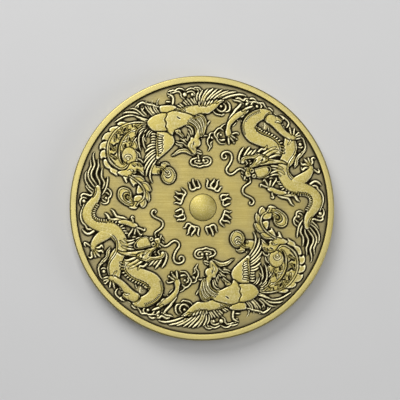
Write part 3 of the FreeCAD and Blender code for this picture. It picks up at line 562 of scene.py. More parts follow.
                        [0.2, -8.73, 15.27, -8.47, 14.8, -8.07, 14.33, -7.6, 13.85],
                        [0.18, -8.35, 15.3, -8.1, 14.85, -7.75, 14.4, -7.45, 14.0],
                        [0.2, -8.0, 15.2, -7.73, 14.6, -7.27, 14.07],
                        [0.2, -7.53, 15.33, -7.33, 14.73, -6.87, 14.2],
                        [0.18, -7.15, 15.1, -6.95, 14.7, -6.6, 14.27], [0.14, -8.95, 15.07, -9.13, 14.7],
                        [0.15, -9.55, 13.35, -8.9, 13.1, -8.5, 12.95],
                        [0.26, -10.25, 15.1, -9.8, 15.5, -9.4, 15.75, -9.1, 15.85, -8.7, 15.7,
                         -8.2, 15.55, -7.7, 15.5, -7.2, 15.3, -6.9, 15.22, -6.5, 15.25],
                        [0.16, -9.75, 15.35, -9.85, 15.0]]),
        ("ridge", 0.07, [[0.13, -8.6, 15.75, -8.6, 16.1], [0.13, -7.7, 15.6, -7.7, 16.15],
                         [0.13, -6.98, 15.35, -6.9, 16.0, -6.6, 16.5]],
         {"ink": 0.7}),
        # inner feathers beside the thigh
        ("ridge", 0.2, [[0.2, -9.02, 11.57, -9.4, 11.2, -9.68, 10.63, -9.68, 9.79, -9.55, 8.94, -9.3, 8.5],
                        [0.2, -8.88, 11.01, -9.07, 10.44, -9.02, 9.79, -8.83, 9.13, -8.6, 8.7],
                        [0.16, -10.08, 11.0, -10.0, 11.4, -9.7, 11.8, -9.2, 12.1],
                        [0.16, -9.7, 11.15, -9.5, 11.5, -9.1, 11.85, -8.75, 12.0],
                        [0.14, -8.9, 11.2, -8.75, 11.5, -8.45, 11.75],
                        [0.16, -8.55, 10.6, -8.45, 11.0, -8.2, 11.4, -7.95, 11.62],
                        [0.14, -8.2, 10.55, -8.15, 10.95, -7.9, 11.3, -7.65, 11.5],
                        [0.16, -8.8, 10.5, -8.75, 10.1, -8.5, 9.85]]),
        # the small curl with a disc
        ("mass", 0.17, [[-7.75, 5.1, -7.85, 6.0, -7.5, 6.5, -7.0, 6.25, -6.4, 6.15, -6.3, 6.6, -5.8, 6.75,
                         -5.1, 6.4, -5.6, 6.25, -5.6, 5.9, -6.1, 5.4, -6.5, 5.6, -6.55, 5.0, -7.1, 4.95]],
         {"run": 0.3}),
        ("mass", 0.19, [ovalPoints(-5.17, 4.76, 1.05, 1.25)], {"run": 0.6}),
        ("cut", 0.12, [[0.14, -5.75, 5.35, -5.5, 5.15, -5.35, 5.15],
                       [0.12, -5.7, 4.6, -5.35, 4.38, -4.95, 4.5], [0.2, -6.38, 5.5, -6.38, 5.05]]),
        ("ridge", 0.08, [[0.2, -6.35, 5.78, -6.08, 5.55, -6.05, 5.2, -6.2, 4.8, -6.15, 4.35, -5.9, 3.92,
                          -5.5, 3.66, -5.1, 3.56, -4.9, 3.6],
                         [0.2, -5.5, 5.97, -5.0, 5.98, -4.6, 5.72, -4.3, 5.3, -4.16, 4.8, -4.25, 4.3,
                          -4.5, 3.86, -4.72, 3.65],
                         [0.17, -7.0, 6.1, -6.35, 6.05, -5.9, 5.8, -5.52, 5.42, -5.35, 5.25],
                         [0.16, -5.38, 5.42, -5.15, 5.5, -5.0, 5.3, -5.1, 5.08, -5.3, 5.02],
                         [0.15, -5.75, 4.92, -5.5, 4.68, -5.15, 4.62, -4.88, 4.85, -4.8, 5.15],
                         [0.2, -6.1, 6.62, -5.7, 6.74, -5.35, 6.6, -5.05, 6.38],
                         [0.17, -6.75, 5.45, -6.72, 5.1]], {"moat": 0.08}),
        ("dot", 0.16, [[-6.6, 6.75, 0.1]]),
    ],
}
sculpt("phoenixPlumes", phoenixPlumes["work"])
print("plumes drawn")

dragonTail = {
    "nodes": ("east_dragon_tail", "west_dragon_tail"),
    "work": [
        # hairs of the tuft
        ("ridge", 0.26, [[0.22, 15.15, -1.85, 14.9, -2.25, 14.6, -2.8, 14.45, -3.35, 14.35, -3.95,
                          14.3, -4.6],
                         [0.22, 15.1, -2.75, 14.85, -3.45, 14.9, -3.9, 15.15, -4.3, 15.25, -4.7,
                          15.25, -5.2, 15.15, -5.8],
                         [0.22, 15.5, -3.1, 15.55, -3.8, 15.8, -4.3, 16.0, -4.8, 16.0, -5.2, 15.85, -5.75,
                          15.7, -6.2, 15.75, -6.7, 15.75, -7.2],
                         [0.23, 15.85, -3.2, 16.4, -3.95, 16.7, -4.4, 16.8, -4.9, 16.7, -5.4, 16.45, -5.9,
                          16.3, -6.4, 16.4, -6.9, 16.5, -7.4, 16.5, -7.9, 16.35, -8.25],
                         [0.22, 16.2, -2.9, 16.75, -3.6, 17.05, -4.05, 17.25, -4.6, 17.25, -5.15,
                          17.05, -5.7, 16.85, -6.15, 16.9, -6.65, 16.9, -7.1],
                         [0.22, 16.3, -2.45, 16.95, -2.9, 17.35, -3.4, 17.6, -3.9, 17.7, -4.4,
                          17.65, -5.0, 17.5, -5.35],
                         [0.2, 16.35, -1.85, 17.0, -2.45, 17.35, -2.8, 17.6, -3.2]]),
    ],
}
sculpt("dragonTail", dragonTail["work"])

dragonWhiskers = {
    "nodes": ("east_dragon_whiskers", "west_dragon_whiskers"),
    "work": [
        # one curls up in front of the face, one hangs below it
        ("ridge", 0.23, [[0.24, 3.45, 7.92, 3.58, 7.72, 3.5, 7.48, 3.28, 7.36, 3.02, 7.44, 2.87, 7.7,
                          2.92, 8.05, 3.2, 8.32, 3.62, 8.44, 4.05, 8.33, 4.33, 8.0, 4.4, 7.5, 4.25, 6.95,
                          3.95, 6.4, 3.66, 6.02, 3.56, 5.65, 3.7, 5.28, 4.05, 5.06, 4.42, 5.07, 4.8, 5.3,
                          5.1, 5.57, 5.4, 5.78, 5.75, 5.87, 6.1, 5.72, 6.5, 5.42],
                         [0.22, 7.2, 4.3, 7.2, 3.85, 6.85, 3.58, 6.45, 3.3, 6.12, 2.95, 6.02, 2.5,
                          6.17, 2.1, 6.6, 1.8, 7.05, 1.6, 7.5, 1.32, 7.72, 0.95, 7.6, 0.55, 7.3, 0.42,
                          7.05, 0.62, 7.15, 0.85]], {"taper": 0.8}),
    ],
}
sculpt("dragonWhiskers", dragonWhiskers["work"])
print("tail and whiskers drawn")

phoenixLowerWing = {
    "nodes": ("north_phoenix_lower_wing", "south_phoenix_lower_wing"),
    "work": [
        # long feathers, from the top down
        ("ridge", 0.24, [[0.24, -7.15, 9.5, -7.6, 9.48, -8.0, 9.35, -8.42, 9.08],
                         [0.24, -7.2, 9.15, -7.85, 8.98, -8.35, 8.66, -8.72, 8.3],
                         [0.22, -7.2, 8.75, -7.75, 8.42, -8.25, 8.0, -8.75, 7.45],
                         [0.22, -7.2, 8.38, -7.9, 7.9, -8.5, 7.3, -8.95, 6.65],
                         [0.22, -7.0, 8.05, -7.5, 7.7, -8.15, 7.0, -8.6, 6.3, -8.86, 5.65],
                         [0.24, -7.15, 7.55, -7.7, 6.9, -8.2, 6.1, -8.48, 5.4, -8.55, 4.72],
                         [0.22, -7.0, 7.15, -7.35, 6.65, -7.65, 6.1, -7.9, 5.4, -8.0, 4.8, -7.9, 4.2,
                          -7.6, 3.65]]),
        # short tips down its outer edge
        ("ridge", 0.26, [[0.21, -7.8, 11.02 - 0.4 * k, -7.45, 11.1 - 0.4 * k,
                          -7.1, 11.0 - 0.4 * k] for k in range(4)], {"taper": 0.7}),
        # the wing itself
        ("mass", 0.27, [[-6.95, 11.3, -6.0, 11.4, -5.2, 11.2, -4.7, 10.95, -4.4, 10.5, -4.3, 10.0,
                         -4.45, 9.5, -4.8, 9.0, -5.3, 8.5, -5.9, 7.95, -6.4, 7.55, -6.8, 7.2, -7.1, 7.4,
                         -7.0, 8.1, -7.08, 9.0, -7.08, 10.2]], {"run": 0.9}),
        # short feathers on the wing, bowed at the top and rising towards its tip
        ("ridge", 0.08, [[0.18, -7.0 + 0.05 * k, 10.98 - 0.41 * k, -6.62, 10.78 - 0.37 * k,
                          -6.1 - 0.12 * (k % 2), 10.73 - 0.32 * k]
                         for k in range(8)], {"moat": 0.2, "reach": 0.14, "taper": 0.7}),
        ("cut", 0.16, [[0.13, -6.6, 8.2, -6.3, 8.05], [0.13, -6.85, 7.85, -6.62, 7.68],
                       [0.1, -7.02, 10.9, -6.95, 10.2]]),
    ],
}
sculpt("phoenixLowerWing", phoenixLowerWing["work"])

phoenixUpperWing = {
    "nodes": ("north_phoenix_upper_wing", "south_phoenix_upper_wing"),
    "work": [
        # curls between the wing and the rim
        ("ridge", 0.1, [[0.2, -5.3, 17.5, -4.9, 17.65, -4.5, 17.75, -4.2, 17.7, -3.9, 17.95, -3.5, 18.05,
                         -3.1, 17.95, -2.7, 17.7],
                        [0.18, -4.95, 17.3, -4.5, 17.35, -4.1, 17.5, -3.65, 17.55, -3.35, 17.25,
                         -3.3, 16.85, -3.05, 16.6, -2.75, 16.4]],
         {"ink": 0.8}),
        ("ridge", 0.2, [[0.2, -2.6, 17.7, -2.2, 17.95, -1.8, 18.08, -1.4, 18.0, -1.05, 17.8],
                        [0.2, -1.35, 18.15, -0.95, 18.22, -0.55, 18.12, -0.33, 17.85, -0.25, 17.6],
                        [0.2, -2.5, 17.35, -2.2, 17.52, -1.8, 17.62, -1.42, 17.5, -1.25, 17.2, -1.3, 16.95],
                        [0.2, -0.95, 18.0, -0.72, 17.75, -0.62, 17.5],
                        [0.28, -5.35, 17.2, -4.98, 17.02, -4.65, 16.82, -4.5, 16.5, -4.52, 16.05,
                         -4.65, 15.4],
                        [0.22, -5.6, 15.98, -4.95, 15.98]]),
        ("dot", 0.22, [[-2.75, 17.1, 0.26, -1.6, 17.12, 0.2, -5.15, 16.75, 0.11]]),
        # shoulder and arm of the wing
        ("mass", 0.2, [[-6.5, 15.3, -5.5, 15.45, -4.6, 15.42, -4.05, 15.25, -3.9, 14.8, -4.4, 14.65,
                        -5.0, 14.35, -5.7, 14.28, -6.35, 14.4, -6.55, 14.8]], {"run": 0.4}),
        ("mass", 0.26, [[-4.3, 14.75, -3.3, 15.0, -2.6, 15.3, -1.6, 15.45, -0.6, 15.5, 0.4, 15.5,
                         1.3, 15.75, 2.1, 16.15, 2.7, 16.42, 3.25, 16.25, 2.6, 15.75, 2.0, 15.1,
                         1.4, 14.6, 0.8, 14.2, 0.2, 14.25, -0.5, 14.25, -1.1, 14.0, -1.8, 13.9,
                         -3.0, 13.8, -4.2, 14.0]], {"run": 0.9}),
        # long feathers, fanned over to the right
        ("ridge", 0.23, [[0.22, -0.9, 16.2, -0.95, 16.7, -0.85, 17.15, -0.62, 17.55],
                         [0.22, -0.5, 16.2, -0.52, 16.8, -0.3, 17.35, 0.0, 17.85],
                         [0.22, -0.35, 15.85, -0.2, 16.3, 0.1, 17.05, 0.45, 17.6, 0.82, 18.05],
                         [0.3, 0.02, 15.6, 0.1, 16.25, 0.42, 16.95, 0.9, 17.5, 1.55, 18.05],
                         [0.24, 0.45, 16.15, 0.85, 16.65, 1.3, 17.15, 1.8, 17.65, 2.2, 18.02],
                         [0.24, 1.1, 16.45, 1.6, 16.97, 2.2, 17.42, 2.95, 17.92],
                         [0.24, 1.6, 16.45, 2.2, 16.93, 3.0, 17.4, 3.9, 17.75],
                         [0.26, 2.35, 16.7, 3.1, 17.08, 4.0, 17.43, 5.1, 17.63],
                         [0.28, 3.0, 16.5, 3.8, 16.82, 4.6, 17.05, 5.5, 17.2, 6.1, 17.15, 6.6, 16.98]]),
        # shorter ones towards the shoulder
        ("ridge", 0.23, [[0.22, -0.95, 15.75, -1.25, 16.2, -1.35, 16.68],
                         [0.24, -1.2, 15.7, -1.55, 16.15, -1.85, 16.55],
                         [0.22, -1.55, 15.45, -2.0, 16.05, -2.38, 16.5],
                         [0.22, -2.0, 15.4, -2.4, 15.9, -2.75, 16.25],
                         [0.22, -2.45, 15.5, -2.98, 15.98], [0.22, -2.85, 15.15, -3.5, 15.72],
                         [0.2, -3.25, 15.15, -3.85, 15.48],
                         [0.2, -3.3, 14.75, -3.95, 14.98], [0.2, -3.55, 14.5, -4.1, 14.66]]),
        # their roots on the arm
        ("ridge", 0.06, [[0.2, -0.5, 15.4, -0.58, 15.8, -0.55, 16.05], [0.2, -0.15, 15.42, -0.02, 16.0],
                         [0.2, 0.2, 15.42, 0.45, 16.05], [0.22, 0.5, 15.35, 1.05, 16.22],
                         [0.22, 1.02, 15.55, 1.52, 16.28],
                         [0.2, 1.62, 15.85, 2.2, 16.35], [0.22, 2.05, 15.85, 2.5, 16.15, 2.95, 16.3],
                         [0.16, -2.68, 14.58, -3.0, 14.85], [0.15, -2.5, 15.2, -2.3, 15.25],
                         [0.14, -3.0, 15.15, -2.75, 14.95],
                         [0.14, -2.05, 15.5, -2.3, 15.75]], {"moat": 0.12, "reach": 0.12}),
        ("ridge", 0.06, [[0.16, 2.55, 16.65, 2.85, 16.85], [0.16, 3.0, 16.3, 3.2, 16.2]]),
    ],
}
sculpt("phoenixUpperWing", phoenixUpperWing["work"])
print("wings drawn")

phoenixBody = {
    "nodes": ("north_phoenix_body", "south_phoenix_body"),
    "work": [
        # breast and haunch
        ("mass", 0.29, [[-5.5, 14.2, -5.75, 13.6, -5.85, 13.1, -5.6, 12.6, -5.7, 12.1, -5.4, 11.6,
                         -4.95, 11.05, -4.6, 10.95, -4.4, 11.4, -4.1, 11.75, -3.4, 12.08, -2.8, 12.38,
                         -2.2, 12.5, -1.6, 12.3, -1.2, 11.9, -1.1, 11.2, -1.25, 10.6, -0.8, 10.4,
                         -0.45, 10.7, -0.35, 11.6, -0.5, 12.5, -0.95, 13.3, -1.5, 13.85, -2.3, 14.2,
                         -3.4, 14.45, -4.4, 14.6]],
         {"run": 1.3}),
        ("mass", 0.3, [[-8.45, 12.7, -8.2, 13.25, -7.6, 13.75, -6.9, 14.05, -6.1, 14.25, -5.5, 14.2,
                        -5.6, 13.7, -5.82, 13.25, -5.58, 12.7, -5.7, 12.2, -5.45, 11.65, -6.2, 11.48,
                        -7.0, 11.5, -7.6, 11.62, -8.1, 12.05]], {"run": 1.4}),
        ("cut", 0.2, [[0.16, -3.9, 13.72, -3.66, 13.5, -3.42, 13.42]]),
        # ruff of the neck
        ("mass", 0.2, [[-1.2, 13.6, -0.5, 13.95, 0.1, 13.85, 0.5, 13.3, 0.55, 12.5, 0.35, 11.6,
                        0.05, 10.9, -0.35, 10.7, -0.45, 11.6, -0.6, 12.5]], {"run": 0.3, "moat": 0.1}),
        ("ridge", 0.1, [[0.17, -2.27, 12.78, -1.57, 12.38, -1.16, 11.87, -1.06, 11.2],
                        [0.17, -2.17, 13.12, -1.47, 12.72, -0.94, 12.2, -0.74, 11.6],
                        [0.17, -1.85, 13.45, -1.06, 12.98, -0.55, 12.35, -0.42, 11.6],
                        [0.17, -1.45, 13.72, -0.66, 13.22, -0.2, 12.4, -0.1, 11.5, -0.2, 10.95],
                        [0.17, -1.05, 13.95, -0.26, 13.5, 0.14, 12.6, 0.16, 11.6, -0.02, 10.85],
                        [0.19, -0.7, 14.1, 0.05, 13.88, 0.42, 13.2, 0.44, 12.3, 0.14, 11.0]],
         {"moat": 0.14, "reach": 0.11, "ink": 0.85}),
        ("ridge", 0.2, [[0.2, -2.5, 12.35, -1.95, 12.15, -1.6, 11.7, -1.5, 11.0],
                        [0.18, -2.2, 11.85, -1.9, 11.5, -1.75, 10.9],
                        [0.16, -2.3, 11.35, -2.1, 11.0, -2.0, 10.5],
                        [0.16, -2.3, 10.85, -2.25, 10.5, -2.3, 10.1]]),
        # the leg tucked under the breast
        ("mass", 0.16, [[-4.25, 11.55, -3.6, 11.8, -3.35, 11.5, -3.3, 11.1, -2.9, 10.75, -3.3, 10.65,
                         -3.75, 11.0]], {"run": 0.3}),
        ("ridge", 0.1, [[0.24, -3.48, 11.7, -3.42, 11.3, -3.15, 11.0, -2.9, 10.78]]),
        # head, crest and comb
        ("mass", 0.2, [[-4.85, 7.8, -4.4, 8.05, -3.95, 8.5, -3.4, 8.78, -2.7, 8.88, -2.25, 8.65,
                        -1.7, 8.15, -1.2, 8.05, -1.3, 7.88, -1.9, 7.95, -2.5, 8.22, -3.1, 8.3, -3.8, 8.08,
                        -4.4, 7.75]], {"run": 0.25}),
        ("ridge", 0.07, [[0.2, -4.75, 7.85, -4.4, 8.03, -3.98, 8.42, -3.65, 8.66, -3.2, 8.76, -2.65, 8.82,
                          -2.3, 8.66, -2.0, 8.38, -1.68, 8.15]],
         {"moat": 0.04}),
        ("ridge", 0.24, [[0.22, -4.05, 11.3, -3.5, 11.0, -3.05, 10.55],
                         [0.17, -3.45, 10.42, -2.95, 10.12, -2.5, 9.75],
                         [0.18, -2.72, 10.4, -2.35, 10.08], [0.14, -3.0, 10.35, -2.7, 10.1],
                         [0.18, -4.0, 9.98, -3.6, 9.78, -3.1, 9.75, -2.75, 9.5],
                         [0.18, -4.12, 9.65, -3.8, 9.45, -3.4, 9.4, -3.02, 9.4],
                         [0.14, -3.5, 9.15, -3.05, 9.14],
                         [0.16, -3.0, 9.72, -2.55, 9.3, -2.1, 8.9, -1.65, 8.4]],
         {"moat": 0.05, "ink": 0.8}),
        ("mass", 0.3, [[-1.25, 10.45, -0.85, 10.5, -0.52, 10.25, -0.33, 9.85, -0.4, 9.45, -0.7, 9.2,
                        -1.0, 9.1, -0.98, 8.6, -1.0, 8.2, -1.2, 7.98, -1.5, 8.1, -1.8, 8.45, -2.1, 8.85,
                        -2.35, 9.25, -2.2, 9.75, -1.95, 10.1, -1.85, 10.55, -1.55, 10.6]],
         {"run": 0.6}),
        ("band", 0.3, [[-0.68, 11.75, 0.3, -0.78, 11.2, 0.5, -0.95, 10.6, 0.7, -1.05, 10.1, 0.75]],
         {"moat": 0.0, "ink": 0.0, "run": 0.4}),
        ("cut", 0.12, [[0.14, -1.38, 9.95, -1.42, 9.6, -1.38, 9.4], [0.1, -1.6, 9.0, -1.4, 8.6]]),
        ("ridge", 0.04, [[0.16, -1.05, 8.1, -1.05, 8.6, -1.1, 9.05],
                         [0.14, -1.7, 9.6, -1.75, 9.2, -1.5, 8.8]], {"moat": 0.04, "ink": 0.6}),
    ],
}
sculpt("phoenixBody", phoenixBody["work"])
print("phoenix drawn")

dragonBody = {
    "nodes": ("east_dragon_body", "west_dragon_body"),
    "work": [
        ("ridge", 0.16, [[0.14, 5.3, 13.35, 5.3, 13.15], [0.15, 5.85, 13.25, 5.85, 13.05],
                         [0.12, 4.5, 12.25, 4.8, 12.6, 5.15, 12.95]]),
        # neck and loop, then the long trunk that runs out into the tail
        ("band", 0.31, [[11.6, 8.7, 1.5, 11.0, 9.3, 1.75, 10.15, 9.9, 1.95, 8.8, 10.4, 2.05,
                         7.6, 11.0, 2.15, 7.0, 12.1, 2.15, 7.25, 13.1, 2.05, 8.1, 13.85, 1.86,
                         9.2, 14.25, 1.6, 10.0, 14.25, 1.2]], {"run": 0.8}),
        ("band", 0.31, [[13.2, 10.3, 1.5, 13.22, 9.2, 1.9, 13.15, 8.2, 2.05, 12.85, 7.3, 2.0,
                         12.35, 6.5, 1.7, 12.2, 5.6, 1.7, 12.5, 4.7, 1.9, 13.2, 3.75, 2.1, 14.2, 3.2, 2.1,
                         15.4, 2.85, 1.75, 16.5, 2.45, 1.5, 17.2, 1.75, 1.5, 17.35, 0.9, 1.55,
                         17.0, 0.0, 1.45, 16.5, -0.7, 1.28, 16.05, -1.4, 1.1, 15.83, -2.2, 0.95,
                         15.8, -2.95, 0.7]], {"run": 0.8}),
        ("ridge", 0.1, [[0.19, 14.1, 10.1, 14.24, 9.4, 14.18, 8.6, 13.85, 7.9, 13.38, 7.3, 13.03, 6.6,
                         12.92, 5.8, 13.08, 5.0, 13.48, 4.4, 14.06, 4.05],
                        [0.14, 16.5, -1.5, 16.2, -2.0, 16.12, -2.45, 16.15, -2.85]],
         {"moat": 0.22, "reach": 0.12}),
        ("ridge", 0.04, [[0.14, 8.6, 14.75, 7.6, 14.4, 6.85, 13.9, 6.3, 13.2, 6.12, 12.4, 6.18, 11.8,
                          6.4, 11.15]], {"moat": 0.08, "reach": 0.09}),
        ("nicks", 0.1, [[0.1, 0.24, 0.27, -70, 6.4, 13.0, 6.75, 13.55, 7.35, 14.05, 8.1, 14.4,
                         8.9, 14.65]]),
        # comb along the spine: white teeth over black ground
        ("teeth", 0.36, [[0.21, 0.6, 0.43, 68, 8.0, 12.3, 8.2, 11.85, 8.75, 11.4, 9.4, 11.1, 10.1, 10.85,
                          10.8, 10.45, 11.35, 10.0, 11.7, 9.5, 11.85, 8.9, 11.88, 8.2]],
         {"moat": 0.2, "reach": 0.12}),
        ("ridge", 0.24, [[0.17, 8.15, 12.35, 8.28, 11.9, 8.62, 11.5, 9.4, 11.12, 10.1, 10.85, 10.8, 10.45,
                          11.3, 10.02, 11.65, 9.5, 11.8, 9.0, 11.84, 8.5, 11.9, 8.1]], {"moat": 0.1}),
        ("ridge", 0.16, [[0.15, 9.95, 12.2, 10.1, 11.6]]),
        ("dot", 0.16, [[9.15, 12.45, 0.1]]),
        ("teeth", 0.24, [[0.18, 0.42, 0.36, -78, 14.3, 2.3, 14.9, 2.2, 15.6, 2.15, 16.1, 1.95, 16.5, 1.5,
                          16.58, 1.0, 16.5, 0.5, 16.25, 0.0, 15.85, -0.55]], {"moat": 0.2, "reach": 0.1}),
        ("ridge", 0.2, [[0.19, 11.75, 3.9, 11.2, 3.95], [0.19, 12.0, 3.55, 11.45, 3.6],
                        [0.19, 12.2, 3.2, 11.7, 3.15],
                        [0.19, 12.4, 2.95, 12.0, 2.7], [0.19, 12.75, 2.7, 12.45, 2.35],
                        [0.18, 13.15, 2.45, 12.95, 2.1],
                        [0.18, 13.6, 2.35, 13.5, 2.0], [0.18, 14.0, 2.3, 13.95, 1.95]]),
    ],
}
sculpt("dragonBody", dragonBody["work"])

dragonLegs = {
    "hindLeg": {
        "nodes": ("east_dragon_hind_leg", "west_dragon_hind_leg"),
        "work": [
            ("band", 0.35, [[9.95, 13.35, 1.0, 10.35, 13.45, 1.5, 10.85, 13.1, 1.45, 11.3, 12.55, 1.25,
                             11.75, 11.95, 1.05, 12.3, 11.4, 0.95, 12.9, 11.0, 0.9, 13.45, 10.75, 0.95,
                             13.9, 10.65, 0.7]], {"run": 0.7}),
            ("mass", 0.33, [[11.2, 13.9, 11.75, 13.65, 12.1, 13.35, 12.05, 13.05, 11.75, 12.8,
                             11.3, 12.9]], {"run": 0.3, "moat": 0.02, "ink": 0.3}),
            ("ridge", 0.04, [[0.18, 9.12, 11.55, 9.42, 12.2, 9.46, 12.8, 9.45, 13.4, 9.62, 13.95,
                              10.05, 14.3, 10.6, 14.43, 11.0, 14.28, 11.4, 13.98, 11.75, 13.65,
                              12.08, 13.35, 12.12, 13.05],
                             [0.17, 11.1, 13.0, 11.5, 13.1, 11.78, 12.85]], {"moat": 0.1}),
            # claws
            ("ridge", 0.25, [[0.22, 13.5, 11.1, 13.35, 11.7, 13.25, 12.25],
                             [0.23, 13.82, 11.05, 13.9, 11.6, 14.0, 12.1],
                             [0.2, 14.05, 10.9, 14.4, 11.25, 14.62, 11.48, 14.82, 11.35],
                             [0.2, 14.1, 10.45, 14.5, 10.5, 14.9, 10.65],
                             [0.2, 13.4, 10.35, 13.25, 9.95, 12.95, 9.6],
                             [0.19, 14.15, 10.85, 14.6, 10.95, 14.95, 11.1]]),
        ],
    },
    "upperLeg": {
        "nodes": ("east_dragon_upper_leg", "west_dragon_upper_leg"),
        "work": [
            ("band", 0.3, [[6.35, 14.65, 0.7, 5.85, 14.3, 0.85, 5.3, 14.0, 0.85, 4.8, 13.62, 0.8,
                            4.35, 13.15, 0.75, 4.02, 12.7, 0.66, 3.88, 12.2, 0.6, 3.86, 11.75, 0.72,
                            3.85, 11.3, 0.88, 3.92, 10.8, 0.55]]),
            ("ridge", 0.24, [[0.3, 7.6, 15.42, 7.0, 15.2, 6.45, 14.98, 6.0, 14.68],
                             [0.18, 6.95, 14.75, 6.6, 14.4, 6.2, 14.1],
                             [0.18, 6.3, 14.1, 6.0, 13.8, 5.75, 13.75]]),
            # claws
            ("ridge", 0.26, [[0.26, 3.85, 10.7, 3.9, 10.2, 3.97, 9.6],
                             [0.22, 4.05, 10.75, 4.4, 10.3, 4.68, 9.95, 4.75, 9.7],
                             [0.22, 4.25, 10.95, 4.65, 10.7, 5.0, 10.45],
                             [0.22, 4.45, 11.15, 4.95, 11.33, 5.3, 11.3, 5.4, 11.08]], {"taper": 0.7}),
            ("dot", 0.26, [[5.12, 10.38, 0.14, 4.7, 9.8, 0.13]]),
        ],
    },
    "lowerLeg": {
        "nodes": ("east_dragon_lower_leg", "west_dragon_lower_leg"),
        "work": [
            ("band", 0.3, [[12.5, 2.25, 0.5, 11.8, 2.25, 0.7, 11.1, 2.45, 0.75, 10.5, 2.7, 0.75,
                            10.1, 2.78, 0.6]]),
            # claws
            ("ridge", 0.25, [[0.24, 10.0, 3.05, 9.35, 3.25, 8.8, 3.5, 8.72, 3.12],
                             [0.22, 9.95, 3.25, 9.62, 3.85, 9.35, 4.18, 9.12, 4.0],
                             [0.22, 10.15, 3.25, 10.25, 3.85, 10.35, 4.15],
                             [0.22, 10.5, 3.2, 10.9, 3.85, 11.15, 4.2, 11.15, 4.5],
                             [0.18, 10.1, 4.45, 10.6, 4.5],
                             [0.22, 10.5, 2.35, 10.55, 1.9, 10.75, 1.62, 10.65, 1.42, 10.3, 1.55]]),
        ],
    },
    "outerLeg": {
        "nodes": ("east_dragon_outer_leg", "west_dragon_outer_leg"),
        "work": [
            ("band", 0.33, [[14.1, 3.9, 1.4, 14.8, 4.2, 1.65, 15.5, 4.65, 1.5, 16.1, 5.2, 1.15,
                             16.45, 5.8, 0.84, 16.42, 6.35, 0.66]],
             {"moat": 0.0, "ink": 0.0, "run": 0.8}),
            # claws
            ("ridge", 0.3, [[0.3, 16.2, 6.55, 15.85, 7.0, 15.45, 7.42],
                            [0.28, 16.5, 6.5, 16.72, 6.95, 16.6, 7.4, 16.9, 7.62, 17.15, 7.45],
                            [0.28, 16.1, 6.4, 15.6, 6.62, 15.2, 6.55, 14.95, 6.85],
                            [0.28, 16.05, 6.1, 15.55, 6.05, 15.2, 5.75, 14.98, 6.1],
                            [0.26, 16.35, 6.7, 16.2, 7.2, 16.05, 7.6],
                            [0.26, 16.9, 5.85, 17.35, 5.5, 17.7, 5.35, 17.75, 5.65, 17.58, 5.9]]),
        ],
    },
}
for name, leg in dragonLegs.items():
    sculpt(name, leg["work"])

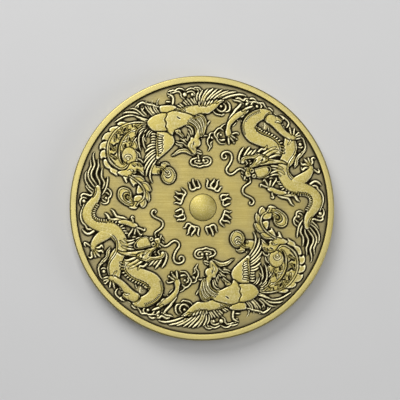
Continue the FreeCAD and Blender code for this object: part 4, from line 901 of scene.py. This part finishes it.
dragonHead = {
    "nodes": ("east_dragon_head", "west_dragon_head"),
    "work": [
        # mane and beard streaming off the skull
        ("ridge", 0.26, [[0.26, 5.6, 6.8, 5.46, 7.5, 5.75, 8.4, 6.2, 9.1],
                         [0.25, 6.15, 7.7, 6.4, 8.1, 6.75, 8.65, 7.2, 9.25],
                         [0.24, 6.6, 7.75, 6.95, 8.15, 7.45, 8.7],
                         [0.24, 7.05, 7.75, 7.35, 8.0, 7.75, 8.45, 8.1, 8.8],
                         [0.24, 7.5, 7.75, 7.85, 7.95, 8.3, 8.4, 8.6, 8.62],
                         [0.27, 8.3, 8.35, 8.9, 8.88, 9.4, 8.85, 9.75, 9.35],
                         [0.3, 9.0, 8.05, 9.5, 8.35, 10.3, 8.85, 11.1, 9.18],
                         [0.38, 9.3, 7.7, 9.7, 7.9, 10.5, 8.42, 11.35, 8.72],
                         [0.3, 9.9, 7.45, 10.6, 7.75, 11.3, 8.0, 11.75, 7.92],
                         [0.26, 10.4, 6.35, 11.2, 6.25, 11.7, 6.1, 12.15, 5.9],
                         [0.2, 10.5, 5.95, 11.1, 5.85, 11.6, 5.65, 11.95, 5.6],
                         [0.26, 10.3, 5.2, 10.8, 5.45, 11.4, 5.6, 12.0, 5.5, 12.4, 5.1],
                         [0.23, 10.3, 4.85, 11.0, 5.05, 11.5, 5.0, 11.8, 4.8],
                         [0.2, 9.15, 4.5, 9.7, 4.62, 10.1, 4.8]]),
        ("band", 0.3, [[8.8, 6.72, 0.6, 9.6, 6.95, 0.8, 10.4, 7.02, 0.7, 11.2, 7.0, 0.54,
                        11.9, 6.95, 0.42, 12.45, 6.78, 0.3, 12.7, 6.6, 0.18]]),
        ("mass", 0.32, [[5.7, 7.0, 6.0, 7.6, 6.8, 7.85, 7.6, 7.9, 8.3, 8.2, 9.0, 8.05, 9.6, 7.75,
                         10.0, 7.4, 9.7, 6.95, 9.1, 6.75, 8.6, 6.8, 8.25, 7.1, 7.8, 7.3, 7.3, 7.4,
                         6.8, 7.35, 6.4, 7.15, 6.25, 6.75, 5.9, 6.65]], {"run": 0.5}),
        ("mass", 0.34, [[7.75, 5.8, 8.4, 6.02, 9.4, 6.28, 10.2, 6.2, 10.38, 5.75, 10.0, 5.1, 9.3, 4.62,
                         8.5, 4.42, 8.1, 4.62, 8.02, 5.2]],
         {"run": 1.0}),
        ("mass", 0.3, [[6.3, 5.95, 6.9, 6.15, 7.4, 6.1, 7.55, 5.75, 7.15, 5.35, 7.3, 4.85, 6.95, 4.65,
                        6.55, 4.65, 6.4, 5.15, 6.55, 5.6]], {"run": 0.4}),
        ("mass", 0.33, [[6.98, 6.15, 7.6, 6.68, 7.85, 7.25, 8.45, 7.8, 9.05, 7.75, 9.0, 7.06, 8.75, 6.6,
                         8.3, 6.3, 7.75, 6.15, 7.4, 6.0]],
         {"run": 0.35, "moat": 0.1, "ink": 0.5}),
        ("cut", 0.26, [[0.17, 7.93, 6.98, 8.12, 7.3], [0.3, 9.18, 7.72, 9.3, 7.66],
                       [0.28, 8.95, 7.26, 9.1, 7.2], [0.17, 8.12, 8.28, 8.35, 8.4],
                       [0.19, 8.72, 8.08, 8.95, 8.2], [0.1, 9.5, 7.72, 9.62, 7.45, 9.5, 7.2],
                       [0.16, 6.9, 7.28, 7.4, 7.38, 7.9, 7.36]]),
        ("cut", 0.12, [[0.1, 9.3, 6.95, 10.2, 7.12, 11.0, 7.05],
                       [0.24, 9.85, 6.12, 10.08, 5.85, 10.02, 5.5], [0.1, 6.75, 5.2, 7.0, 5.0]]),
        ("ridge", 0.28, [[0.2, 6.45, 7.2, 6.75, 6.75], [0.14, 7.05, 7.22, 7.2, 7.0],
                         [0.14, 6.58, 6.48, 6.82, 6.76], [0.14, 7.12, 6.6, 7.36, 6.86]]),
        ("ridge", 0.06, [[0.17, 7.0, 6.2, 7.5, 6.55, 7.75, 6.95], [0.15, 8.1, 6.5, 8.5, 6.75, 8.8, 7.1]],
         {"moat": 0.03}),
        ("ridge", 0.05, [[0.16, 7.9, 5.85, 8.6, 6.05, 9.4, 6.28, 10.15, 6.2, 10.36, 5.8, 10.0, 5.15,
                          9.35, 4.66, 8.6, 4.46, 8.15, 4.65],
                         [0.16, 5.75, 7.0, 6.05, 7.55, 6.8, 7.8, 7.6, 7.85, 8.3, 8.15],
                         [0.14, 9.1, 8.0, 9.6, 7.72, 9.95, 7.4]],
         {"moat": 0.09, "reach": 0.1}),
        ("ridge", 0.06, [[0.2, 6.82, 5.98, 6.82, 5.5], [0.16, 6.3, 6.05, 6.55, 5.85]], {"moat": 0.08}),
        # two ringed nostrils
        ("mass", 0.32, [arcPoints(7.44, 5.58, 0.36, 0, 324, 10), arcPoints(7.77, 4.78, 0.33, 0, 324, 10)],
         {"run": 0.15, "moat": 0.25}),
        ("cut", 0.34, [[0.5, 7.44, 5.58], [0.45, 7.77, 4.78]]),
        ("ridge", 0.24, [[0.2, 6.45, 4.75, 6.25, 4.15], [0.16, 5.85, 5.4, 6.1, 5.1],
                         [0.16, 5.88, 4.9, 6.12, 4.55], [0.15, 7.1, 4.55, 7.13, 4.22]]),
        ("dot", 0.24, [[6.65, 4.2, 0.1]]),
    ],
}
sculpt("dragonHead", dragonHead["work"])
print("dragon drawn")

sunFlames = {
    "nodes": ("sun_flames", "sun_flames"),
    "work": [
        ("ridge", 0.2, [[0.24, 0.6, 4.3, 0.76, 3.97, 0.66, 3.6, 0.6, 3.2, 0.68, 2.98],
                        [0.24, 1.72, 4.3, 1.65, 4.0, 1.4, 3.7, 1.2, 3.4, 1.25, 3.1, 1.75, 2.8],
                        [0.24, 2.45, 4.15, 2.2, 3.9, 2.15, 3.5, 2.05, 3.2, 1.8, 2.85, 1.85, 2.6,
                         2.1, 2.45, 2.35, 2.5, 2.55, 2.8, 2.7, 3.05, 2.95, 3.1],
                        [0.22, 0.68, 2.95, 1.2, 2.9, 1.75, 2.7],
                        [0.24, 3.9, 2.02, 3.6, 1.87, 3.2, 1.9, 2.85, 1.82, 2.72, 1.6, 2.78, 1.3],
                        [0.24, 2.75, 1.15, 3.0, 1.1, 3.3, 1.18, 3.7, 1.4, 4.0, 1.36, 4.28, 1.25],
                        [0.24, 3.1, 1.05, 3.05, 0.72, 3.1, 0.42, 3.3, 0.28, 3.7, 0.45, 4.15, 0.66],
                        [0.24, 4.35, -0.6, 4.0, -0.7, 3.6, -0.58, 3.35, -0.52, 3.25, -0.8, 3.1, -1.2,
                         2.95, -1.6, 2.7, -1.95, 2.6, -2.2, 2.8, -2.5, 3.1, -2.75, 3.25, -2.95],
                        [0.24, 3.2, -1.05, 3.4, -1.1, 3.7, -1.22, 4.0, -1.5, 4.3, -1.65],
                        [0.24, 2.85, -1.75, 3.05, -1.95, 3.3, -2.05, 3.7, -2.05, 4.0, -2.25, 4.1, -2.4],
                        [0.24, 0.8, -4.1, 0.62, -3.6, 0.45, -3.2, 0.6, -2.95, 0.95, -2.93, 1.15, -2.8,
                         1.45, -2.65, 1.75, -2.66, 1.95, -3.0, 2.0, -3.4, 2.2, -3.75],
                        [0.24, 1.12, -3.0, 1.35, -3.5, 1.5, -3.9, 1.5, -4.3]], {"taper": 0.6, "moat": 0.1}),
    ],
}
sculpt("sunFlames", sunFlames["work"])
print("sun flames drawn")


# what the finished die leaves: the top surface, its hollows darkened with patina and painted shade, and its
# crowns painted bright with rubbed wear and a painted highlight
def softened(grid, radius):
    count = int(2.5 * radius / die["pitch"])
    weights = np.exp(-0.5 * (np.arange(-count, count + 1) * die["pitch"] / radius) ** 2)
    weights /= weights.sum()
    for axis in (0, 1):
        grid = sum(w * np.roll(grid, k - count, axis) for k, w in enumerate(weights))
    return grid


def spread(mask, cells):
    for _ in range(cells):
        for axis in (0, 1):
            mask = mask | np.roll(mask, 1, axis) | np.roll(mask, -1, axis)
    return mask


for name, layer in layers.items():
    struck = np.where(layer > 0, die["pressed"] * layer, layer)
    layers[name] = np.minimum(struck, die["highest"])
relief = blankGrid.copy()
for layer in layers.values():
    relief = np.maximum(relief, np.maximum(layer, layer[::-1, ::-1]))
topSurface = np.maximum(relief, groundHeight)

# masks painted on the metal: patina with painted shade in and round the hollows, rubbed wear with a painted
# highlight on the crowns, grey haze between the pieces
wearAndShade = {
    "reliefFrom": 0.03,           # anything this high counts as relief, mm
    "poolReach": 0.2,             # reach of the black pool of patina and painted shade that stands round the relief
    "pool": (0.06, 0.17),         # share of relief nearby at which it starts, and is full
    "closedReach": 0.42,          # ground with this much relief round it stays black with patina and painted shade
    "closed": (0.26, 0.47),
    "hollowReach": 0.14,
    "hollow": (0.01, 0.034),      # how far under its surroundings a spot starts to darken with patina and painted shade, and is black
    "crownReach": 0.11,
    "crownFull": 0.016,           # a spot this far above its surroundings is painted bright: rubbed wear plus a painted highlight
    "massCrown": 0.006,           # broad masses have to stand this much more proud
    "crowdReach": 0.25,
    "openLines": (0.82, 0.52),    # share of relief nearby at which single strokes stop being painted bright
    "massLines": (0.885, 0.945),  # and at which strokes on a mass start to be
    "mass": (0.9, 0.96),
    "rimFoot": 0.2,               # width of the dark line of patina and painted shade at the rim's foot
    "hazeReach": 0.75,            # reach of the grey haze left between the pieces
    "haze": 1.9,
    "rimHazeReach": 1.2,
    "rimHaze": 0.8,
}
away = np.hypot(gridX, gridY)
standing = (relief > wearAndShade["reliefFrom"]).astype(float)
hollow = softened(topSurface, wearAndShade["hollowReach"]) - topSurface
pool = between(softened(standing, wearAndShade["poolReach"]), *wearAndShade["pool"])
closed = between(softened(standing, wearAndShade["closedReach"]), *wearAndShade["closed"])
# patina with painted shade: black round and between the relief, in its hollows and at the rim's foot
patinaAndShade = np.where(standing > 0, np.clip(ink, 0, 1), np.maximum(pool, closed))
patinaAndShade = np.maximum(patinaAndShade, between(hollow, *wearAndShade["hollow"]))
patinaAndShade = np.maximum(patinaAndShade, np.exp(-((fieldRadius - away) / wearAndShade["rimFoot"]) ** 2))

# painted bright crowns: rubbed wear plus a painted highlight on the strokes
crowding = softened(standing, wearAndShade["crowdReach"])
lineWork = np.maximum(between(crowding, *wearAndShade["openLines"]), between(crowding, *wearAndShade["massLines"]))
proud = topSurface - softened(topSurface, wearAndShade["crownReach"])
proud = proud - wearAndShade["massCrown"] * between(crowding, *wearAndShade["mass"])
rubAndHighlight = np.clip(proud / wearAndShade["crownFull"], 0, 1) * lineWork * (1 - patinaAndShade)
rimHaze = wearAndShade["rimHaze"] * np.exp(-((fieldRadius - away) / wearAndShade["rimHazeReach"]) ** 2)
haze = np.clip(wearAndShade["haze"] * softened(standing, wearAndShade["hazeReach"]) + rimHaze, 0, 1)


def addLayer(mesh, values, name):
    mesh.attributes.new(name, "FLOAT", "POINT").data.foreach_set("value", values.astype(np.float32))


def finishMesh(mesh, uv):
    mesh.polygons.foreach_set("use_smooth", np.ones(len(mesh.polygons), bool))
    corner = np.zeros(len(mesh.loops), np.int32)
    mesh.loops.foreach_get("vertex_index", corner)
    mesh.uv_layers.new(name="OFBake").data.foreach_set("uv", uv[corner].astype(np.float32).ravel())
    mesh.update()
    return mesh


def gridMesh(name, height, cells, stride=1, x=gridX, y=gridY):
    # a mesh of the kept cells of the grid, at the given heights above the field
    x, y, z = x[::stride, ::stride], y[::stride, ::stride], height[::stride, ::stride]
    rows, cols = np.nonzero(cells)
    used = np.zeros(z.shape, bool)
    for i, j in ((0, 0), (0, 1), (1, 1), (1, 0)):
        used[rows + i, cols + j] = True
    index = np.cumsum(used.ravel()).reshape(used.shape) - 1
    quads = np.stack([index[rows, cols], index[rows, cols + 1],
                      index[rows + 1, cols + 1], index[rows + 1, cols]], 1)
    points = np.stack([x[used], y[used], coin["fieldTop"] + z[used]], 1) * mm
    mesh = bpy.data.meshes.new(name)
    mesh.from_pydata(points.tolist(), [], quads.tolist())
    for grid, layerName in ((patinaAndShade, "patinaAndShade"), (rubAndHighlight, "rubAndHighlight"), (haze, "haze")):
        addLayer(mesh, grid[::stride, ::stride][used], layerName)
    low, high = points[:, :2].min(0), points[:, :2].max(0)
    return finishMesh(mesh, (points[:, :2] - low) / (high - low).max())


def allCorners(mask):
    return mask[:-1, :-1] & mask[1:, :-1] & mask[:-1, 1:] & mask[1:, 1:]


def anyCorner(mask):
    return mask[:-1, :-1] | mask[1:, :-1] | mask[:-1, 1:] | mask[1:, 1:]


shown = {
    "buried": -0.03,      # relief lower than this is not shown
    "overlap": 0.015,     # how far a piece runs on under its neighbour
    "underRim": 0.04,     # how far the field runs on under the rim
    "underRelief": 2,     # and under the relief, in grid steps
    "fieldStride": 2,     # the field is this much coarser than the relief
}
unwrap = {"radius": 0.4802, "depth": 0.9}     # of the flat rings that turned parts unfold into


def reliefMesh(name):
    own = layers[name]
    others = blankGrid.copy()
    for other, layer in layers.items():
        others = np.maximum(others, layer[::-1, ::-1])
        if other != name:
            others = np.maximum(others, layer)
    seen = (own > shown["buried"]) & (own > others - shown["overlap"])
    return gridMesh(name, own, anyCorner(spread(seen, 1)))


def fieldMesh():
    # the open ground, left out where relief stands on it, its outside cut to a circle
    outside = fieldRadius + shown["underRim"]
    pull = np.minimum(1, outside / np.maximum(away, outside / 2))
    stride = shown["fieldStride"]
    buried = ~spread(relief < wearAndShade["reliefFrom"], shown["underRelief"])
    coarse = slice(None, None, stride)
    cells = anyCorner(away[coarse, coarse] < outside) & ~allCorners(buried[coarse, coarse])
    return gridMesh("field", groundHeight, cells, stride, gridX * pull, gridY * pull)


def latheMesh(name, profile, turns, dark, wornAndHighlight=1.0):
    # turns a profile of (radius, height) in mm; dark gives the patina and painted shade at each of its
    # points, and the rest gets rubbed wear and a painted highlight
    profile = np.asarray(profile, float)
    dark = np.asarray(dark, float)
    count = len(profile)
    angle = (np.arange(turns) * 2 * math.pi / turns)[:, None]
    x, y = profile[:, 0] * np.cos(angle), profile[:, 0] * np.sin(angle)
    points = np.stack([x, y, np.tile(profile[:, 1], (turns, 1))], -1).reshape(-1, 3) * mm
    faces = []
    for i in range(turns):
        j = (i + 1) % turns
        for k in range(count - 1):
            faces.append((i * count + k, j * count + k, j * count + k + 1, i * count + k + 1))
    mesh = bpy.data.meshes.new(name)
    mesh.from_pydata(points.tolist(), [], faces)
    addLayer(mesh, np.tile(dark, turns), "patinaAndShade")
    addLayer(mesh, np.tile(wornAndHighlight * (1 - dark), turns), "rubAndHighlight")
    addLayer(mesh, np.zeros(turns * count), "haze")
    # the unwrap is a flat ring, the profile's length laid out from outside to inside
    along = np.concatenate([[0], np.cumsum(np.hypot(*np.diff(profile, axis=0).T))])
    ring = unwrap["radius"] * (1 - unwrap["depth"] * along / along[-1])
    uv = 0.5 + np.stack([ring * np.cos(angle), ring * np.sin(angle)], -1).reshape(-1, 2)
    return finishMesh(mesh, uv)


rim = {
    "turns": 256,
    "foot": ((-0.02, -0.08), (0, -0.02), (0.03, 0.04)),   # out and up from the field's edge
    "footLean": 0.05,     # how far the inner wall leans outwards
    "innerBend": 0.06,    # rounding of the inner edge of the top
    "innerSteps": 4,
    "flat": (0.4, 0.55, 0.7),     # points on the flat top, as shares of its width
    "outerBend": 0.24,    # rounding of the outer edge
    "outerSteps": 6,
    # patina and painted shade at the rim's foot, point by point from the field up
    "footDark": (1.0, 1.0, 0.85, 0.45, 0.25, 0.1, 0.03),
}


def quarter(steps):
    return [k * math.pi / 2 / steps for k in range(steps + 1)]


def rimMesh():
    top, fieldTop, radius, foot = coin["top"], coin["fieldTop"], coin["radius"], fieldRadius
    bend, outer = rim["innerBend"], rim["outerBend"]
    profile = [(foot + out, fieldTop + up) for out, up in rim["foot"]]
    for t in quarter(rim["innerSteps"]):
        out = rim["footLean"] + bend * (1 - math.cos(t))
        profile.append((foot + out, top - bend * (1 - math.sin(t))))
    for share in rim["flat"]:
        profile.append((foot + share * coin["rimWidth"], top))
    for t in quarter(rim["outerSteps"]):
        profile.append((radius - outer + outer * math.sin(t), top - outer + outer * math.cos(t)))
    profile.append((radius, fieldTop))
    dark = list(rim["footDark"]) + [0.0] * (len(profile) - len(rim["footDark"]))
    return latheMesh("rim", profile[::-1], rim["turns"], dark[::-1])


edge = {"rings": 9, "dark": 0.25}


def edgeMesh():
    heights = np.linspace(blankLow[2] / mm, coin["fieldTop"], edge["rings"])
    profile = [(coin["radius"], z) for z in heights]
    return latheMesh("edge", profile, rim["turns"], [edge["dark"]] * edge["rings"])


sun = {
    "turns": 128,
    "rings": 20,
    "wornAndHighlight": 0.0,          # the dome gets less rubbed wear and painted highlight than the small strokes
    "dark": 0.95,         # patina and painted shade at its foot
    "darkReach": 0.13,
    "sunk": 0.06,         # how far its foot runs under the field
    "tip": 0.01,          # radius of the smallest ring
}


def sunMesh():
    low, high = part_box("face_sun_disc")
    radius = (high[0] - low[0]) / 2 / mm
    rise = high[2] / mm - coin["fieldTop"]
    ball = (radius ** 2 + rise ** 2) / (2 * rise)
    profile = [(radius, coin["fieldTop"] - sun["sunk"])]
    dark = [1.0]
    for k in range(sun["rings"]):
        r = radius * (1 - k / (sun["rings"] - 1))
        height = coin["fieldTop"] + math.sqrt(ball ** 2 - r ** 2) - (ball - rise)
        profile.append((max(r, sun["tip"]), height))
        dark.append(sun["dark"] * math.exp(-((radius - r) / sun["darkReach"]) ** 2))
    return latheMesh("sun", profile, sun["turns"], dark, sun["wornAndHighlight"])


# plated brass: plain metal, bright where rubbed and where a highlight is painted, grey where dulled, dark
# with patina and painted shade in the hollows
brass = {
    "field": {
        "plain": (0.365, 0.295, 0.095),
        "bright": (0.50, 0.42, 0.165),
        "dark": (0.006, 0.004, 0.002),
        "grey": (0.21, 0.185, 0.11),
        "roughness": (0.46, 0.7),
        "rubAndHighlight": 0.6,
        "patinaAndShade": 1.0,
        "haze": 0.85,
        "cloud": (-0.1, 0.3),
        "grain": 0.16,
        "brush": (-0.4, 0.45),
        "bump": 0.4,
    },
    "relief": {
        "plain": (0.475, 0.395, 0.115),
        # the near-white of the strokes' crowns is rubbed metal plus a painted highlight
        "bright": (1.0, 0.93, 0.6),
        "dark": (0.006, 0.004, 0.002),
        "grey": (0.30, 0.27, 0.17),
        "roughness": (0.54, 0.7),
        "rubAndHighlight": 1.0,
        "patinaAndShade": 1.0,
        "haze": 0.0,
        "cloud": (-0.02, 0.16),
        "grain": 0.22,
        "brush": None,
        "bump": 0.6,
    },
    "rim": {
        "plain": (0.375, 0.305, 0.1),
        "bright": (0.5, 0.435, 0.18),
        "dark": (0.010, 0.007, 0.003),
        "grey": (0.30, 0.27, 0.17),
        "roughness": (0.42, 0.7),
        "rubAndHighlight": 0.5,
        "patinaAndShade": 0.9,
        "haze": 0.0,
        "cloud": (-0.1, 0.3),
        "grain": 0.1,
        "brush": None,
        "bump": 0.25,
    },
}


# the unevenness that all three share; a span is the part of a noise that is used
surface = {
    "cloud": (420, 5),              # scale and detail
    "cloudSpan": (0.35, 0.68),
    "glossSpan": (0.3, 0.7),
    "glossCloud": (-0.05, 0.06),    # unevenness of the gloss
    "grain": (5200, 3),
    "grainSpan": (0.3, 0.7),
    "stainAndShadeGrain": (0.88, 1.1),      # how the grain breaks up the patina and painted shade
    "streaks": (900, 4, 0.7, (0.2, 7.0, 1.0)),    # brushing along X
    "streakSpan": (0.34, 0.66),
    "bumpDepth": 0.02 * mm,
}


# short ways to lay down the few kinds of node that the finishes use
def feed(tree, value, socket):
    if isinstance(value, bpy.types.NodeSocket):
        tree.links.new(value, socket)
    elif isinstance(value, tuple):
        socket.default_value = (*value, 1)
    else:
        socket.default_value = value


def painted(tree, layerName):
    node = tree.nodes.new("ShaderNodeAttribute")
    node.attribute_name = layerName
    return node.outputs["Fac"]


def mixed(tree, share, a, b):
    node = tree.nodes.new("ShaderNodeMix")
    node.data_type = "RGBA"
    feed(tree, share, node.inputs["Factor"])
    feed(tree, a, node.inputs["A"])
    feed(tree, b, node.inputs["B"])
    return node.outputs["Result"]


def worked(tree, kind, a, b, clamp=False):
    node = tree.nodes.new("ShaderNodeMath")
    node.operation = kind
    node.use_clamp = clamp
    feed(tree, a, node.inputs[0])
    feed(tree, b, node.inputs[1])
    return node.outputs[0]


def spanned(tree, value, span, target):
    node = tree.nodes.new("ShaderNodeMapRange")
    for name, number in zip(("From Min", "From Max", "To Min", "To Max"), (*span, *target)):
        node.inputs[name].default_value = number
    feed(tree, value, node.inputs["Value"])
    return node.outputs["Result"]


def noise(tree, scale, detail, rough=0.55, stretch=(1, 1, 1)):
    where = tree.nodes.new("ShaderNodeTexCoord")
    fit = tree.nodes.new("ShaderNodeMapping")
    fit.inputs["Scale"].default_value = stretch
    tree.links.new(where.outputs["Object"], fit.inputs["Vector"])
    node = tree.nodes.new("ShaderNodeTexNoise")
    node.inputs["Scale"].default_value = scale
    node.inputs["Detail"].default_value = detail
    node.inputs["Roughness"].default_value = rough
    tree.links.new(fit.outputs["Vector"], node.inputs["Vector"])
    return node.outputs["Fac"]


def newMaterial(name):
    material = bpy.data.materials.new(name)
    material.use_nodes = True
    tree = material.node_tree
    return material, tree, tree.nodes["Principled BSDF"]


def brassMaterial(name, look):
    material, tree, shader = newMaterial(name)
    cloud = noise(tree, *surface["cloud"])
    grain = noise(tree, *surface["grain"])
    # rubbed wear and a painted highlight lighten the metal towards the bright colour
    tone = worked(tree, "MULTIPLY", painted(tree, "rubAndHighlight"), look["rubAndHighlight"])
    tone = worked(tree, "ADD", tone, spanned(tree, cloud, surface["cloudSpan"], look["cloud"]), True)
    grainTone = spanned(tree, grain, surface["grainSpan"], (-look["grain"], look["grain"]))
    tone = worked(tree, "ADD", tone, grainTone, True)
    height = grain
    if look["brush"]:
        streaks = noise(tree, *surface["streaks"])
        tone = worked(tree, "ADD", tone, spanned(tree, streaks, surface["streakSpan"], look["brush"]), True)
        height = worked(tree, "ADD", grain, streaks)
    metal = mixed(tree, tone, look["plain"], look["bright"])
    dulled = worked(tree, "MULTIPLY", painted(tree, "haze"), look["haze"])
    metal = mixed(tree, dulled, metal, look["grey"])
    # patina and painted shade darken the metal towards the dark colour
    stainAndShade = worked(tree, "MULTIPLY", painted(tree, "patinaAndShade"), look["patinaAndShade"])
    broken = spanned(tree, grain, surface["grainSpan"], surface["stainAndShadeGrain"])
    stainAndShade = worked(tree, "MULTIPLY", stainAndShade, broken, True)
    gloss = spanned(tree, stainAndShade, (0, 1), look["roughness"])
    uneven = spanned(tree, cloud, surface["glossSpan"], surface["glossCloud"])
    gloss = worked(tree, "ADD", gloss, uneven, True)
    bump = tree.nodes.new("ShaderNodeBump")
    bump.inputs["Strength"].default_value = look["bump"]
    bump.inputs["Distance"].default_value = surface["bumpDepth"]
    feed(tree, height, bump.inputs["Height"])
    feed(tree, mixed(tree, stainAndShade, metal, look["dark"]), shader.inputs["Base Color"])
    feed(tree, 1.0, shader.inputs["Metallic"])
    feed(tree, gloss, shader.inputs["Roughness"])
    feed(tree, bump.outputs["Normal"], shader.inputs["Normal"])
    return material


fieldBrass = brassMaterial("fieldBrass", brass["field"])
reliefBrass = brassMaterial("reliefBrass", brass["relief"])
rimBrass = brassMaterial("rimBrass", brass["rim"])
print("brass mixed")


def addPiece(name, mesh, material, nodeName, onBack=False, half=False):
    piece = bpy.data.objects.new(name, mesh)
    if not mesh.materials:
        mesh.materials.append(material)
    piece.rotation_euler = (math.pi if onBack else 0, 0, math.pi if half else 0)
    piece.location.z = coin["thickness"] * mm if onBack else 0
    bpy.context.collection.objects.link(piece)
    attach(piece, "root")
    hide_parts(nodeName)


reliefParts = {
    "clouds": clouds,
    "phoenixPlumes": phoenixPlumes,
    "dragonTail": dragonTail,
    "dragonWhiskers": dragonWhiskers,
    "phoenixLowerWing": phoenixLowerWing,
    "phoenixUpperWing": phoenixUpperWing,
    "phoenixBody": phoenixBody,
    "dragonBody": dragonBody,
    **dragonLegs,
    "dragonHead": dragonHead,
    "sunFlames": sunFlames,
}
reliefMeshes = {name: reliefMesh(name) for name in reliefParts}
field, rimRing, edgeBand, sunDome = fieldMesh(), rimMesh(), edgeMesh(), sunMesh()
print("meshes made", sum(len(mesh.polygons) for mesh in reliefMeshes.values()), len(field.polygons))

for side in ("face", "back"):
    onBack = side == "back"
    addPiece(side + "Field", field, fieldBrass, "blank", onBack)
    addPiece(side + "Rim", rimRing, rimBrass, side + "_rim", onBack)
    addPiece(side + "SunDome", sunDome, reliefBrass, side + "_sun_disc", onBack)
    for name, part in reliefParts.items():
        for nodeName, half in zip(part["nodes"], (False, True)):
            pieceName = side + name[0].upper() + name[1:] + ("Turned" if half else "")
            nodeName = side + "_" + nodeName
            addPiece(pieceName, reliefMeshes[name], reliefBrass, nodeName, onBack, half)
addPiece("edgeBand", edgeBand, rimBrass, "blank")
print("pieces placed")

stage = {
    "floorColour": (0.64, 0.64, 0.64),
    "floorFleck": (90, 6),        # scale and detail
    "floorFleckTone": 0.97,
    "floorRoughness": 0.8,
    "floorSize": 0.6,             # m, as are the places below
    "world": (0.10, 0.10, 0.10),
    "lights": {
        "key": {"place": (-0.13, 0.26, 0.26), "size": 0.22, "power": 1.14},
        "top": {"place": (-0.02, 0.05, 0.5), "size": 0.30, "power": 0.84},
        "side": {"place": (0.25, -0.05, 0.14), "size": 0.14, "power": 0.18},
    },
}


def floorMaterial():
    material, tree, shader = newMaterial("paleCard")
    pale = stage["floorColour"]
    darker = tuple(stage["floorFleckTone"] * c for c in pale)
    flecked = mixed(tree, noise(tree, *stage["floorFleck"]), pale, darker)
    feed(tree, flecked, shader.inputs["Base Color"])
    feed(tree, stage["floorRoughness"], shader.inputs["Roughness"])
    return material


def addFloor():
    half = stage["floorSize"] / 2
    corners = [(-half, -half, 0), (half, -half, 0), (half, half, 0), (-half, half, 0)]
    mesh = bpy.data.meshes.new("floor")
    mesh.from_pydata(corners, [], [(0, 1, 2, 3)])
    mesh.materials.append(floorMaterial())
    floor = bpy.data.objects.new("floor", mesh)
    bpy.context.collection.objects.link(floor)


def addLight(name, spec):
    light = bpy.data.lights.new(name, "AREA")
    light.size = spec["size"]
    light.energy = spec["power"]
    lamp = bpy.data.objects.new(name, light)
    lamp.location = spec["place"]
    lamp.rotation_euler = (-Vector(spec["place"])).to_track_quat("-Z", "Y").to_euler()
    bpy.context.collection.objects.link(lamp)


def addWorld():
    world = bpy.data.worlds.new("studio")
    world.use_nodes = True
    background = world.node_tree.nodes["Background"]
    background.inputs["Color"].default_value = (*stage["world"], 1)
    background.inputs["Strength"].default_value = 1.0
    bpy.context.scene.world = world
    bpy.context.scene.view_settings.view_transform = "Standard"


addFloor()
for name, spec in stage["lights"].items():
    addLight(name + "Light", spec)
addWorld()
print("stage lit")

view = {
    "aim": (-0.46, 1.1, 3.0),        # mm
    "stand": (-11.9, -9.5, 169.3),   # where the camera stands from there, mm
    "lens": 101.6,
    "sensor": 36,
    "nearest": 0.01,                 # m
}


def addCamera():
    data = bpy.data.cameras.new("coinView")
    data.sensor_width = view["sensor"]
    data.lens = view["lens"]
    data.clip_start = view["nearest"]
    camera = bpy.data.objects.new("coinView", data)
    stand = Vector(view["stand"]) * mm
    forward = -stand.normalized()
    up = (Vector((0, 1, 0)) - forward * forward.y).normalized()
    right = forward.cross(up)
    turn = Matrix((right, up, -forward)).transposed()
    camera.matrix_world = Matrix.Translation(Vector(view["aim"]) * mm + stand) @ turn.to_4x4()
    bpy.context.collection.objects.link(camera)
    bpy.context.scene.camera = camera


addCamera()
